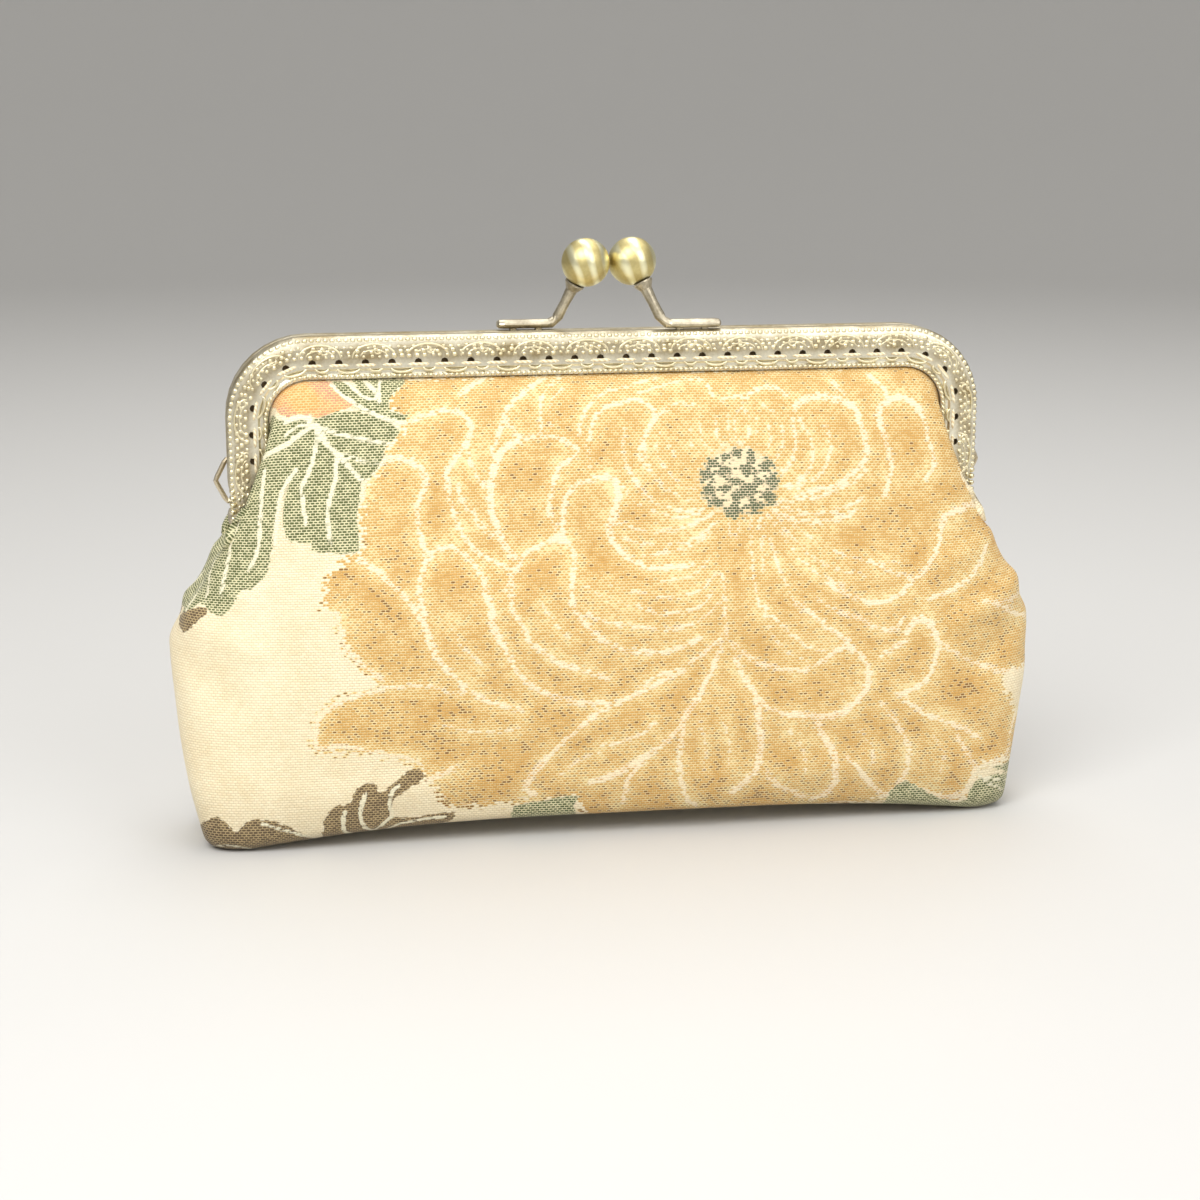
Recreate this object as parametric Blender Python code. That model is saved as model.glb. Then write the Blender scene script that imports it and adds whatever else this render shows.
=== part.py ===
"""A standing brocade pouch with a pierced brass kiss-lock frame, two ball arms and two side loops.

Metres, +Z up. The front faces -Y, +X is on the viewer's right, and the pouch stands on z = 0 with
the middle of its base over the origin.
"""
import math

import bmesh
import bpy
from mathutils import Vector

MM = 0.001

# Gap kept between neighbouring pieces, and the sheet metal of the frame
CLEARANCE = 0.3 * MM
METAL = 0.9 * MM

# Corners of one piece that lie closer together than this are one corner
SLIVER = 0.03 * MM

# The closed frame, seen from the front
FRAME_TOP = 119.0 * MM
FRAME_WIDTH = 180.0 * MM
FRAME_HEIGHT = 44.5 * MM
FRAME_CORNER = 19.0 * MM
BAND = 9.6 * MM
HALF_DEPTH = 6.0 * MM

# Sewing holes through the face of each half
HOLE_DIAMETER = 1.8 * MM
HOLE_INSET = 6.0 * MM
HOLE_PITCH = 6.0 * MM

# Lower ends of the side bars: how far they lean in, their sloped cut, ears and rivets
END_LEAN = 1.0 * MM
END_SLOPE = 13.2 * MM
EAR_RADIUS = 2.6 * MM
EAR_LENGTH = 8.5 * MM
EAR_REACH = 4.4 * MM
RIVET_PIN = 2.6 * MM
RIVET_HEAD = 4.4 * MM
RIVET_HEAD_THICK = 0.9 * MM

# Kiss-lock: balls, arms and their feet
BALL_DIAMETER = 11.4 * MM
BALL_RISE = 15.8 * MM
BALL_TURN = 11.6
FOOT_NEAR = 12.6 * MM
FOOT_FAR = 26.3 * MM
FOOT_THICK = 2.2 * MM
FOOT_DEPTH = 4.2 * MM
ARM_WIRE = 2.6 * MM
SOCKET_DIAMETER = 4.8 * MM
SPIGOT_DIAMETER = 1.8 * MM
SPIGOT_LENGTH = 2.6 * MM
TENON_DIAMETER = 1.8 * MM

# Chain loops on the back half
LOOP_SPAN = 11.0 * MM
LOOP_REACH = 3.3 * MM
LOOP_WIRE = 1.2 * MM
LOOP_DROP = 33.8 * MM
LOOP_DEPTH = 2.7 * MM

# The sewn body: one wall of cloth, thicker where its rim is folded into the frame
CLOTH = 1.5 * MM
HEM = 2.7 * MM
HEM_INSET = 1.7 * MM
BODY_WIDTH = 209.8 * MM
BODY_DEPTH = 44.0 * MM
SHOULDER_HEIGHT = 47.5 * MM
BASE_WIDTH = 198.0 * MM
BASE_DEPTH = 38.0 * MM
BASE_EDGE = 4.5 * MM
BASE_ARCH = 4.7 * MM
LAP_HEIGHT = 16.5 * MM
LIP_TURN = 1.2 * MM
SEAM_VALLEY = 1.6 * MM
VALLEY_REACH = 5.0 * MM

# Values worked out from the sizes above
BAR_END = FRAME_TOP - FRAME_HEIGHT
BAND_END = BAR_END + END_SLOPE
RIVET_HEIGHT = BAR_END + EAR_RADIUS
HINGE_SIDE = FRAME_WIDTH / 2 - END_LEAN
TOP_STRAIGHT = FRAME_WIDTH / 2 - FRAME_CORNER
CORNER_CENTRE = FRAME_TOP - FRAME_CORNER
BACK_WALL = CLEARANCE / 2
SLOT_FACE = HALF_DEPTH - METAL
HEM_FACE = SLOT_FACE - CLEARANCE
HOLLOW_PIN = RIVET_PIN + 2 * CLEARANCE

# Face of a half frame from its outer edge inwards: share of the band, sink below the crest in METAL
FACE_PROFILE = (
    (0.04, 1.30),
    (0.13, 0.40),
    (0.27, 0.00),
    (0.76, 0.00),
    (0.81, 0.45),
    (0.87, 0.45),
    (0.92, 0.05),
    (1.00, 0.30),
)

# Cloth between the frame's lip and the first ring: share of the fall, share of the swell
DRAPE = (
    (0.10, 0.25),
    (0.30, 0.49),
    (0.62, 0.76),
)

# Rings above the widest level: rise from it to the bar ends, narrowing to the frame, depth,
# squareness, and how much of the valley between the two laps is left
UPPER_RINGS = (
    (0.80, 0.74, 0.84, 3.6, 1.0),
    (0.58, 0.53, 0.91, 3.3, 0.6),
    (0.30, 0.22, 0.97, 3.1, 0.2),
)

# Rings from the widest level down: height share, share of the way base to widest, squareness
LOWER_RINGS = (
    (1.00, 1.00, 3.1),
    (0.66, 0.80, 3.8),
    (0.32, 0.42, 5.0),
)

# Stations of a side bar: share of the way from its sloped end to just above it, share of its lean
BAR_STATIONS = (
    (0.00, 1.0),
    (0.36, 1.0),
    (0.73, 0.0),
    (1.00, 0.0),
)

# Rounded lower edge: share of the edge radius inwards, share of it upwards
BASE_EDGE_STEPS = (
    (0.00, 1.00),
    (0.13, 0.50),
    (0.50, 0.13),
    (1.00, 0.00),
)
BASE_SQUARENESS = 8.0
BASE_REST = 0.90
ARCH_POWER = 3.0
ARCH_FADE = 0.55

# Rows of a column above the side seam, where front and back are two layers
SLIT_ROWS = 5

# Resolution of the meshes
TOP_COLUMNS = 8
CORNER_COLUMNS = 4
BAR_COLUMNS = 4
CORNER_STEPS = 9
ROUND_SIDES = 16
HOLE_SIDES = 8

BRASS = ("antique_brass", (0.60, 0.50, 0.31, 1.0), 1.0, 0.42)
BRIGHT_BRASS = ("bright_brass", (0.78, 0.68, 0.42, 1.0), 1.0, 0.30)
BROCADE = ("gold_brocade", (0.87, 0.76, 0.51, 1.0), 0.0, 0.75)


def clear_scene():
    """Remove whatever the open file holds."""
    for item in list(bpy.data.objects):
        bpy.data.objects.remove(item, do_unlink=True)


def material(kind):
    """One Principled material for each finish, made the first time that it is asked for."""
    name, colour, metallic, roughness = kind
    made = bpy.data.materials.get(name)
    if made is None:
        made = bpy.data.materials.new(name)
        made.use_nodes = True
        shader = made.node_tree.nodes["Principled BSDF"]
        shader.inputs["Base Color"].default_value = colour
        shader.inputs["Metallic"].default_value = metallic
        shader.inputs["Roughness"].default_value = roughness
        made.diffuse_color = colour
    return made


def finish(name, mesh_data, kind, smooth_angle=35):
    """Turn a bmesh into a named object with outward faces."""
    bmesh.ops.recalc_face_normals(mesh_data, faces=mesh_data.faces)
    mesh = bpy.data.meshes.new(name)
    mesh_data.to_mesh(mesh)
    mesh_data.free()
    if smooth_angle:
        mesh.shade_smooth()
        mesh.set_sharp_from_angle(angle=math.radians(smooth_angle))
    made = bpy.data.objects.new(name, mesh)
    bpy.context.collection.objects.link(made)
    if kind:
        mesh.materials.append(material(kind))
    return made


def apply_tool(target, tool, operation):
    """Cut or join a hidden helper object by an exact Boolean that stays on the object."""
    tool.hide_render = True
    tool.display_type = "WIRE"
    step = target.modifiers.new(tool.name, "BOOLEAN")
    step.operation = operation
    step.solver = "EXACT"
    step.object = tool


def close_slivers(target):
    """Merge the corners that a cut leaves almost on an edge, so that the solid stays closed."""
    merge = target.modifiers.new("close_slivers", "WELD")
    merge.merge_threshold = SLIVER


def add_loft(mesh_data, rings, closed_ends=True):
    """Skin a list of point rings into the bmesh and close the two ends."""
    made = [[mesh_data.verts.new(point) for point in ring] for ring in rings]
    count = len(made[0])
    for low, high in zip(made, made[1:]):
        for i in range(count):
            j = (i + 1) % count
            mesh_data.faces.new((low[i], low[j], high[j], high[i]))
    if closed_ends:
        mesh_data.faces.new(made[0][::-1])
        mesh_data.faces.new(made[-1])
    return made


def circle_frame(direction):
    """Two unit vectors square to a direction, the second one as upright as it can be."""
    forward = Vector(direction).normalized()
    hint = Vector((0, 1, 0)) if abs(forward.y) < 0.9 else Vector((0, 0, 1))
    across = forward.cross(hint).normalized()
    return across, across.cross(forward).normalized()


def rod_rings(path, radii, sides):
    """Round rings along a path, with a radius at each point, or a pair of half widths."""
    rings = []
    for i, here in enumerate(path):
        before = path[max(i - 1, 0)]
        after = path[min(i + 1, len(path) - 1)]
        across, up = circle_frame(Vector(after) - Vector(before))
        wide, high = radii[i] if isinstance(radii[i], tuple) else (radii[i], radii[i])
        ring = []
        for k in range(sides):
            angle = 2 * math.pi * k / sides
            ring.append(Vector(here) + across * (wide * math.cos(angle)) + up * (high * math.sin(angle)))
        rings.append(ring)
    return rings


def add_pin(mesh_data, start, end, diameter, sides):
    """A closed cylinder between two points."""
    add_loft(mesh_data, rod_rings([start, end], [diameter / 2] * 2, sides))


def lerp(low, high, share):
    return low + (high - low) * share


def ease(share):
    share = min(max(share, 0.0), 1.0)
    return share * share * (3 - 2 * share)


# Frame halves

def corner_line():
    """Outer line of the inverted U from left corner to right corner: x, z, inward direction."""
    line = []
    for centre_x, first in ((-TOP_STRAIGHT, 180.0), (TOP_STRAIGHT, 90.0)):
        for step in range(CORNER_STEPS + 1):
            angle = math.radians(first - 90.0 * step / CORNER_STEPS)
            out_x = math.cos(angle)
            out_z = math.sin(angle)
            line.append((
                centre_x + FRAME_CORNER * out_x,
                CORNER_CENTRE + FRAME_CORNER * out_z,
                -out_x,
                -out_z,
            ))
    return line


def end_cut(inset):
    """Height of a bar's sloped end at a distance from its outer edge."""
    return BAR_END + CLEARANCE + END_SLOPE * inset / BAND


def bar_point(inset, share, lean):
    """A point of a side bar, as distance from the middle and height, from its station's two shares."""
    x = FRAME_WIDTH / 2 - inset - lean * END_LEAN * (1 - inset / BAND)
    return x, lerp(end_cut(inset), BAND_END + 2 * METAL, share)


def bar_rings(section, side, end):
    """Rings of one side bar from its sloped end upwards."""
    rings = []
    for share, lean in BAR_STATIONS:
        ring = []
        for inset, depth in section:
            x, z = bar_point(inset, share, lean)
            ring.append((end * x, side * depth, z))
        rings.append(ring)
    return rings


def channel_section():
    """The bent channel as (inset from the outer edge, distance from the closing plane)."""
    lip = BAND - METAL / 2
    section = [
        (lip, BACK_WALL),
        (METAL / 2, BACK_WALL),
        (0.0, BACK_WALL + METAL / 2),
        (0.0, HALF_DEPTH - 2.4 * METAL),
    ]
    section += [(share * BAND, HALF_DEPTH - sink * METAL) for share, sink in FACE_PROFILE]
    section += [
        (BAND, SLOT_FACE),
        (2.5 * METAL, SLOT_FACE),
        (METAL, SLOT_FACE - METAL),
        (METAL, BACK_WALL + METAL),
        (lip, BACK_WALL + METAL),
    ]
    return section


def hole_places():
    """Centres of the sewing holes, evenly along the line that lies HOLE_INSET from the edge."""
    radius = FRAME_CORNER - HOLE_INSET
    bar = CORNER_CENTRE - end_cut(HOLE_INSET) - HOLE_DIAMETER
    arc = radius * math.pi / 2
    total = 2 * (bar + arc + TOP_STRAIGHT)
    count = int(total / HOLE_PITCH)
    places = []
    for i in range(count + 1):
        along = total * i / count - total / 2
        side = math.copysign(1.0, along)
        rest = abs(along)
        if rest <= TOP_STRAIGHT:
            places.append((along, FRAME_TOP - HOLE_INSET))
        elif rest <= TOP_STRAIGHT + arc:
            angle = (rest - TOP_STRAIGHT) / radius
            x = TOP_STRAIGHT + radius * math.sin(angle)
            places.append((side * x, CORNER_CENTRE + radius * math.cos(angle)))
        else:
            x = TOP_STRAIGHT + radius
            places.append((side * x, CORNER_CENTRE - (rest - TOP_STRAIGHT - arc)))
    return places


def hole_cutter(name, side):
    """All the sewing holes of one half, through its face only."""
    cutter = bmesh.new()
    for x, z in hole_places():
        outside = (x, side * (HALF_DEPTH + METAL), z)
        inside = (x, side * (SLOT_FACE - METAL / 2), z)
        add_pin(cutter, outside, inside, HOLE_DIAMETER, HOLE_SIDES)
    return finish(name, cutter, None)


def side_pins(name, start, end, y, z, diameter, sides):
    """Matching cylinders along X on both sides, for rivet holes, loop holes and clearances."""
    pins = bmesh.new()
    for side in (-1, 1):
        add_pin(pins, (side * start, y, z), (side * end, y, z), diameter, sides)
    return finish(name, pins, None)


def ear_tongue(side, near, far, low, high):
    """Hinge ear seen along X, as (y, z): a plate on its own side with a round end past the middle."""
    outline = [
        (side * near, RIVET_HEIGHT + EAR_RADIUS),
        (side * near, high),
        (side * far, high),
        (side * far, low),
    ]
    half_turn = ROUND_SIDES // 2
    for step in range(half_turn + 1):
        angle = math.radians(-90 - 180.0 * step / half_turn)
        y = side * EAR_RADIUS * math.cos(angle)
        outline.append((y, RIVET_HEIGHT + EAR_RADIUS * math.sin(angle)))
    return outline


def ear_solid(name, outline, outer, inner):
    """The two ears of one half, left and right, between two distances from the middle."""
    ears = bmesh.new()
    for end in (-1, 1):
        add_loft(ears, [[(end * x, y, z) for y, z in outline] for x in (outer, inner)])
    return finish(name, ears, None)


def outer_ear_span():
    """Distances from the middle to the outer and inner face of the front half's ears."""
    return HINGE_SIDE - 0.12 * METAL, HINGE_SIDE - 0.80 * METAL


def inner_ear_span():
    """The same for the back half's ears, which sit just inside the others."""
    outer = outer_ear_span()[1] - CLEARANCE
    return outer, outer - 0.9 * METAL


def add_ears(half, name, side):
    """The front half's ears lie outside and cross the middle; the back half makes room for them."""
    room = 2 * (EAR_RADIUS + CLEARANCE)
    plate_outer, plate_inner = inner_ear_span()
    tail_end = plate_inner - RIVET_HEAD_THICK - 2 * CLEARANCE
    if side < 0:
        outline = ear_tongue(side, 0.6 * METAL, 1.6 * METAL, RIVET_HEIGHT - 0.8 * EAR_RADIUS,
                             RIVET_HEIGHT + 1.01 * EAR_RADIUS)
        pocket = side_pins(
            name + "_ear_room", plate_outer + 0.9 * CLEARANCE, tail_end,
            0.0, RIVET_HEIGHT, room, ROUND_SIDES)
        apply_tool(half, pocket, "DIFFERENCE")
        apply_tool(half, ear_solid(name + "_ears", outline, *outer_ear_span()), "UNION")
        return
    outline = ear_tongue(side, BACK_WALL + METAL / 2, EAR_REACH, RIVET_HEIGHT, BAR_END + EAR_LENGTH)
    pocket = side_pins(
        name + "_ear_room", HINGE_SIDE + METAL, outer_ear_span()[1] - CLEARANCE / 2,
        0.0, RIVET_HEIGHT, room, ROUND_SIDES)
    apply_tool(half, pocket, "DIFFERENCE")
    tail_room = side_pins(
        name + "_tail_room", plate_inner + METAL / 3, tail_end,
        0.0, RIVET_HEIGHT, RIVET_HEAD + 2 * CLEARANCE, ROUND_SIDES)
    apply_tool(half, tail_room, "DIFFERENCE")
    apply_tool(half, ear_solid(name + "_ears", outline, plate_outer, plate_inner), "UNION")


def frame_half(name, side):
    """One half of the frame: channel, ears, and holes for thread, rivets, tenons and loops."""
    section = channel_section()
    channel = bmesh.new()
    rings = bar_rings(section, side, -1)
    for x, z, in_x, in_z in corner_line():
        rings.append([(x + n * in_x, side * d, z + n * in_z) for n, d in section])
    rings += bar_rings(section, side, 1)[::-1]
    add_loft(channel, rings)
    half = finish(name, channel, BRASS)

    add_ears(half, name, side)
    apply_tool(half, hole_cutter(name + "_sewing_holes", side), "DIFFERENCE")
    outside = FRAME_WIDTH / 2 + METAL
    rivet_holes = side_pins(
        name + "_rivet_holes", outside, inner_ear_span()[1] - METAL,
        0.0, RIVET_HEIGHT, HOLLOW_PIN, ROUND_SIDES)
    apply_tool(half, rivet_holes, "DIFFERENCE")
    apply_tool(half, tenon_holes(name + "_tenon_holes", side), "DIFFERENCE")
    if side > 0:
        for k, z in enumerate(loop_heights()):
            holes = side_pins(
                f"{name}_loop_holes_{k}", outside, HINGE_SIDE - 1.6 * METAL,
                LOOP_DEPTH, z, LOOP_WIRE + 2 * CLEARANCE, HOLE_SIDES)
            apply_tool(half, holes, "DIFFERENCE")
    close_slivers(half)
    return half


# Hinge rivets

def hinge_rivet(name, side):
    """A domed head, the pin through both ears and a flat head inside."""
    head_face = HINGE_SIDE + CLEARANCE
    tail_face = inner_ear_span()[1] - CLEARANCE
    head = RIVET_HEAD / 2
    stations = (
        (head_face + RIVET_HEAD_THICK, head * 0.45),
        (head_face + RIVET_HEAD_THICK * 0.7, head * 0.85),
        (head_face, head),
        (head_face, RIVET_PIN / 2),
        (tail_face, RIVET_PIN / 2),
        (tail_face, head * 0.9),
        (tail_face - RIVET_HEAD_THICK * 0.8, head * 0.8),
    )
    rivet = bmesh.new()
    rings = []
    for distance, radius in stations:
        ring = []
        for k in range(ROUND_SIDES):
            angle = 2 * math.pi * k / ROUND_SIDES
            y = radius * math.cos(angle)
            ring.append((side * distance, y, RIVET_HEIGHT + radius * math.sin(angle)))
        rings.append(ring)
    add_loft(rivet, rings)
    return finish(name, rivet, BRASS)


# Kiss-lock

def half_middle():
    """Distance of the middle of a half's top edge from the closing plane."""
    return (BACK_WALL + HALF_DEPTH - METAL) / 2


def ball_centre(side):
    """Centre of the ball on the half on this side: the front half's ball is the right one."""
    reach = (BALL_DIAMETER + CLEARANCE) / 2
    turn = math.radians(BALL_TURN)
    return Vector((-side * reach * math.cos(turn), -side * reach * math.sin(turn), FRAME_TOP + BALL_RISE))


def arm_bend(side):
    """Where the arm turns up from its foot."""
    return Vector((-side * FOOT_NEAR, side * half_middle(), FRAME_TOP + CLEARANCE + FOOT_THICK / 2))


def arm_direction(side):
    return (ball_centre(side) - arm_bend(side)).normalized()


def tenon_places():
    """Distances of the foot's two tenons from the middle."""
    return lerp(FOOT_NEAR, FOOT_FAR, 0.28), lerp(FOOT_NEAR, FOOT_FAR, 0.72)


def tenon_holes(name, side):
    """Holes in the top edge of one half for the tenons of its arm."""
    holes = bmesh.new()
    for x in tenon_places():
        high = (-side * x, side * half_middle(), FRAME_TOP + METAL)
        low = (-side * x, side * half_middle(), FRAME_TOP - 1.6 * METAL)
        add_pin(holes, high, low, TENON_DIAMETER + 2 * CLEARANCE, HOLE_SIDES)
    return finish(name, holes, None)


def clasp_arm(name, side):
    """Foot along the frame's top, a rising arm, a flared socket and the spigot inside the ball."""
    bend = arm_bend(side)
    centre = ball_centre(side)
    rise = arm_direction(side)
    seat = BALL_DIAMETER / 2 + CLEARANCE
    socket = SOCKET_DIAMETER / 2
    spigot = SPIGOT_DIAMETER / 2
    wire = ARM_WIRE / 2
    flat = (FOOT_THICK / 2, FOOT_DEPTH / 2)
    outward = Vector((-side, 0, 0))
    span = FOOT_FAR - FOOT_NEAR
    socket_edge = math.sqrt(seat * seat - socket * socket)
    spigot_edge = math.sqrt(seat * seat - spigot * spigot)
    tip = BALL_DIAMETER / 2 - SPIGOT_LENGTH
    stations = (
        (bend + outward * span, (flat[0] * 0.55, flat[1] * 0.45)),
        (bend + outward * span * 0.965, (flat[0] * 0.9, flat[1] * 0.85)),
        (bend + outward * span * 0.88, flat),
        (bend + outward * span * 0.12, flat),
        (bend + outward * span * 0.03 + Vector((0, 0, wire * 0.25)), (wire * 1.05, wire * 1.25)),
        (bend + rise * wire * 1.5, wire),
        (centre - rise * (socket_edge + 2.2 * socket), wire * 0.92),
        (centre - rise * (socket_edge + 0.8 * socket), wire * 1.1),
        (centre - rise * (socket_edge + 0.15 * socket), socket),
        (centre - rise * socket_edge, socket),
        (centre - rise * spigot_edge, spigot),
        (centre - rise * tip, spigot),
    )
    rings = []
    for place, size in stations:
        is_foot = isinstance(size, tuple)
        across, up = circle_frame(outward if is_foot else -rise)
        high, deep = size if is_foot else (size, size)
        if is_foot:
            across, up = Vector((0, 0, 1)), Vector((0, side, 0))
        ring = []
        for k in range(ROUND_SIDES):
            angle = 2 * math.pi * k / ROUND_SIDES
            ring.append(place + across * (high * math.cos(angle)) + up * (deep * math.sin(angle)))
        rings.append(ring)
    arm = bmesh.new()
    add_loft(arm, untwist(rings))
    made = finish(name, arm, BRASS)
    tenons = bmesh.new()
    for x in tenon_places():
        high = (-side * x, side * half_middle(), bend.z)
        low = (-side * x, side * half_middle(), FRAME_TOP - 1.5 * METAL)
        add_pin(tenons, high, low, TENON_DIAMETER, HOLE_SIDES)
    apply_tool(made, finish(name + "_tenons", tenons, None), "UNION")
    return made


def untwist(rings):
    """Turn, and where needed reverse, each ring so that its points follow the ring before it."""
    made = [rings[0]]
    for ring in rings[1:]:
        last = made[-1]
        middle = sum(ring, Vector()) / len(ring)
        last_middle = sum(last, Vector()) / len(last)
        best = None
        for points in (ring, ring[::-1]):
            for turn in range(len(points)):
                tried = points[turn:] + points[:turn]
                miss = sum(
                    ((a - middle).normalized() - (b - last_middle).normalized()).length
                    for a, b in zip(tried, last))
                if best is None or miss < best[0] - 1e-9:
                    best = (miss, tried)
        made.append(best[1])
    return made


def clasp_ball(name, side):
    """A brass ball with a blind hole for the arm's spigot."""
    radius = BALL_DIAMETER / 2
    bore = SPIGOT_DIAMETER / 2 + CLEARANCE
    first = math.asin(bore / radius)
    depth = radius - SPIGOT_LENGTH - 2 * CLEARANCE
    profile = [(bore, -depth)]
    steps = ROUND_SIDES * 3 // 4
    for k in range(steps):
        angle = lerp(first, math.pi, k / steps)
        profile.append((radius * math.sin(angle), -radius * math.cos(angle)))
    centre = ball_centre(side)
    rise = arm_direction(side)
    across, up = circle_frame(rise)
    ball = bmesh.new()
    rings = []
    for distance, height in profile:
        ring = []
        for k in range(ROUND_SIDES):
            angle = 2 * math.pi * k / ROUND_SIDES
            spoke = across * math.cos(angle) + up * math.sin(angle)
            ring.append(ball.verts.new(centre + spoke * distance + rise * height))
        rings.append(ring)
    for low, high in zip(rings, rings[1:]):
        for k in range(ROUND_SIDES):
            j = (k + 1) % ROUND_SIDES
            ball.faces.new((low[k], low[j], high[j], high[k]))
    ball.faces.new(rings[0])
    pole = ball.verts.new(centre + rise * radius)
    for k in range(ROUND_SIDES):
        ball.faces.new((rings[-1][k], rings[-1][(k + 1) % ROUND_SIDES], pole))
    return finish(name, ball, BRIGHT_BRASS)


# Chain loops

def loop_heights():
    """Heights of the two legs of a loop."""
    middle = FRAME_TOP - LOOP_DROP
    reach = (LOOP_SPAN - LOOP_WIRE) / 2
    return middle - reach, middle + reach


def side_loop(name, side):
    """A wire bent to a low triangle, its two legs in the holes of the back half's side wall."""
    low, high = loop_heights()
    middle = (low + high) / 2
    wall = FRAME_WIDTH / 2
    top = wall + LOOP_REACH - LOOP_WIRE / 2
    shoulder = wall + LOOP_WIRE / 2
    # Half of the bent wire: distance from the middle, share of the way to the loop's own middle
    half = (
        (HINGE_SIDE - 0.5 * METAL, 0.00),
        (wall + 0.1 * LOOP_WIRE, 0.00),
        (shoulder, 0.12),
        (lerp(shoulder, top, 0.86), 0.84),
        (top, 1.00),
    )
    path = [(side * x, LOOP_DEPTH, lerp(low, middle, share)) for x, share in half]
    path += [(side * x, LOOP_DEPTH, lerp(high, middle, share)) for x, share in half[-2::-1]]
    loop = bmesh.new()
    add_loft(loop, untwist(rod_rings(path, [LOOP_WIRE / 2] * len(path), HOLE_SIDES)))
    return finish(name, loop, BRASS)


# Cloth body

def ring_line(half_width, half_depth, squareness, shares):
    """Points of a quarter superellipse, from the front middle to the side, at shares of its length."""
    steps = 240
    fine = []
    for k in range(steps + 1):
        angle = math.pi / 2 * k / steps
        x = half_width * math.sin(angle) ** (2 / squareness)
        d = half_depth * max(math.cos(angle), 0.0) ** (2 / squareness)
        fine.append((x, d if k < steps else 0.0))
    run = [0.0]
    for a, b in zip(fine, fine[1:]):
        run.append(run[-1] + math.dist(a, b))
    points = []
    k = 0
    for share in shares:
        want = share * run[-1]
        while k < steps - 1 and run[k + 1] < want:
            k += 1
        part = min(max((want - run[k]) / (run[k + 1] - run[k]), 0.0), 1.0)
        points.append((lerp(fine[k][0], fine[k + 1][0], part), lerp(fine[k][1], fine[k + 1][1], part)))
    return points


def column_starts():
    """Where the cloth's columns leave the frame, centre to hinge: x, z, inward x and z, lap share."""
    starts = []
    for i in range(TOP_COLUMNS):
        starts.append((TOP_STRAIGHT * i / TOP_COLUMNS, FRAME_TOP, 0.0, -1.0, 0.0))
    for i in range(CORNER_COLUMNS + 1):
        angle = math.pi / 2 * i / CORNER_COLUMNS
        out_x = math.sin(angle)
        out_z = math.cos(angle)
        x = TOP_STRAIGHT + FRAME_CORNER * out_x
        starts.append((x, CORNER_CENTRE + FRAME_CORNER * out_z, -out_x, -out_z, 0.0))
    rim_end = BAND_END + 2.9 * METAL
    for i in range(1, BAR_COLUMNS + 1):
        share = i / BAR_COLUMNS
        starts.append((FRAME_WIDTH / 2, lerp(CORNER_CENTRE, rim_end, share), -1.0, 0.0, share))
    return starts


def column_shares(starts):
    """How far along each ring a column runs, as a share, the side seam being 1."""
    run = [0.0]
    for a, b in zip(starts, starts[1:]):
        start = (a[0] + BAND * a[2], a[1] + BAND * a[3])
        end = (b[0] + BAND * b[2], b[1] + BAND * b[3])
        run.append(run[-1] + math.dist(start, end))
    total = run[-1] + 1.4 * METAL
    return [length / total for length in run] + [1.0]


def rest_arch(x, half_width):
    """Height of the base above the table, which its two ends touch."""
    share = min(abs(x) / (half_width * BASE_REST), 1.0)
    return BASE_ARCH * (1.0 - share ** ARCH_POWER)


def body_rings(shares):
    """The rings below the frame as lists of (x, d, z), top one first."""
    belly = BODY_WIDTH / 2
    base = BASE_WIDTH / 2
    rings = []
    for rise, narrow, depth, square, valley in UPPER_RINGS:
        z = lerp(SHOULDER_HEIGHT, BAR_END, rise)
        line = ring_line(lerp(belly, FRAME_WIDTH / 2, narrow), depth * BODY_DEPTH / 2, square, shares)
        sink = valley * SEAM_VALLEY
        rings.append([(x - sink * math.exp(-(d / VALLEY_REACH) ** 2), d, z) for x, d in line])
    for height, swell, square in LOWER_RINGS:
        half_depth = lerp(BASE_DEPTH, BODY_DEPTH, ease(swell * 1.2)) / 2
        line = ring_line(lerp(base, belly, swell), half_depth, square, shares)
        rings.append([(x, d, height * SHOULDER_HEIGHT) for x, d in line])
    for inward, upward in BASE_EDGE_STEPS:
        inset = inward * BASE_EDGE
        line = ring_line(base - inset, BASE_DEPTH / 2 - inset, BASE_SQUARENESS, shares)
        rings.append([(x, d, upward * BASE_EDGE) for x, d in line])
    arched = []
    for ring in rings:
        lifted = []
        for x, d, z in ring:
            fade = max(1.0 - z / (ARCH_FADE * SHOULDER_HEIGHT), 0.0)
            lifted.append((x, d, z + rest_arch(x, base) * fade))
        arched.append(lifted)
    return arched


def drape_column(start, first):
    """Hem, lip and drape points of one column, down to its point on the first ring."""
    x, z, in_x, in_z, lap = start
    deep = METAL + HEM_INSET
    lip_inset = BAND + LIP_TURN
    lip = (x + lip_inset * in_x, HALF_DEPTH + 1.5 * CLEARANCE, z + lip_inset * in_z)
    points = [
        (x + deep * in_x, HEM_FACE, z + deep * in_z),
        (x + BAND * in_x, HEM_FACE, z + BAND * in_z),
        lip,
    ]
    plain = []
    for fall, swell in DRAPE:
        plain.append((
            lerp(lip[0], first[0], fall),
            lerp(lip[1], first[1], swell),
            lerp(lip[2], first[2], fall),
        ))
    if lap <= 0.0:
        return points + plain
    return points + lap_points(lap, lip, first, plain)


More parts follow.
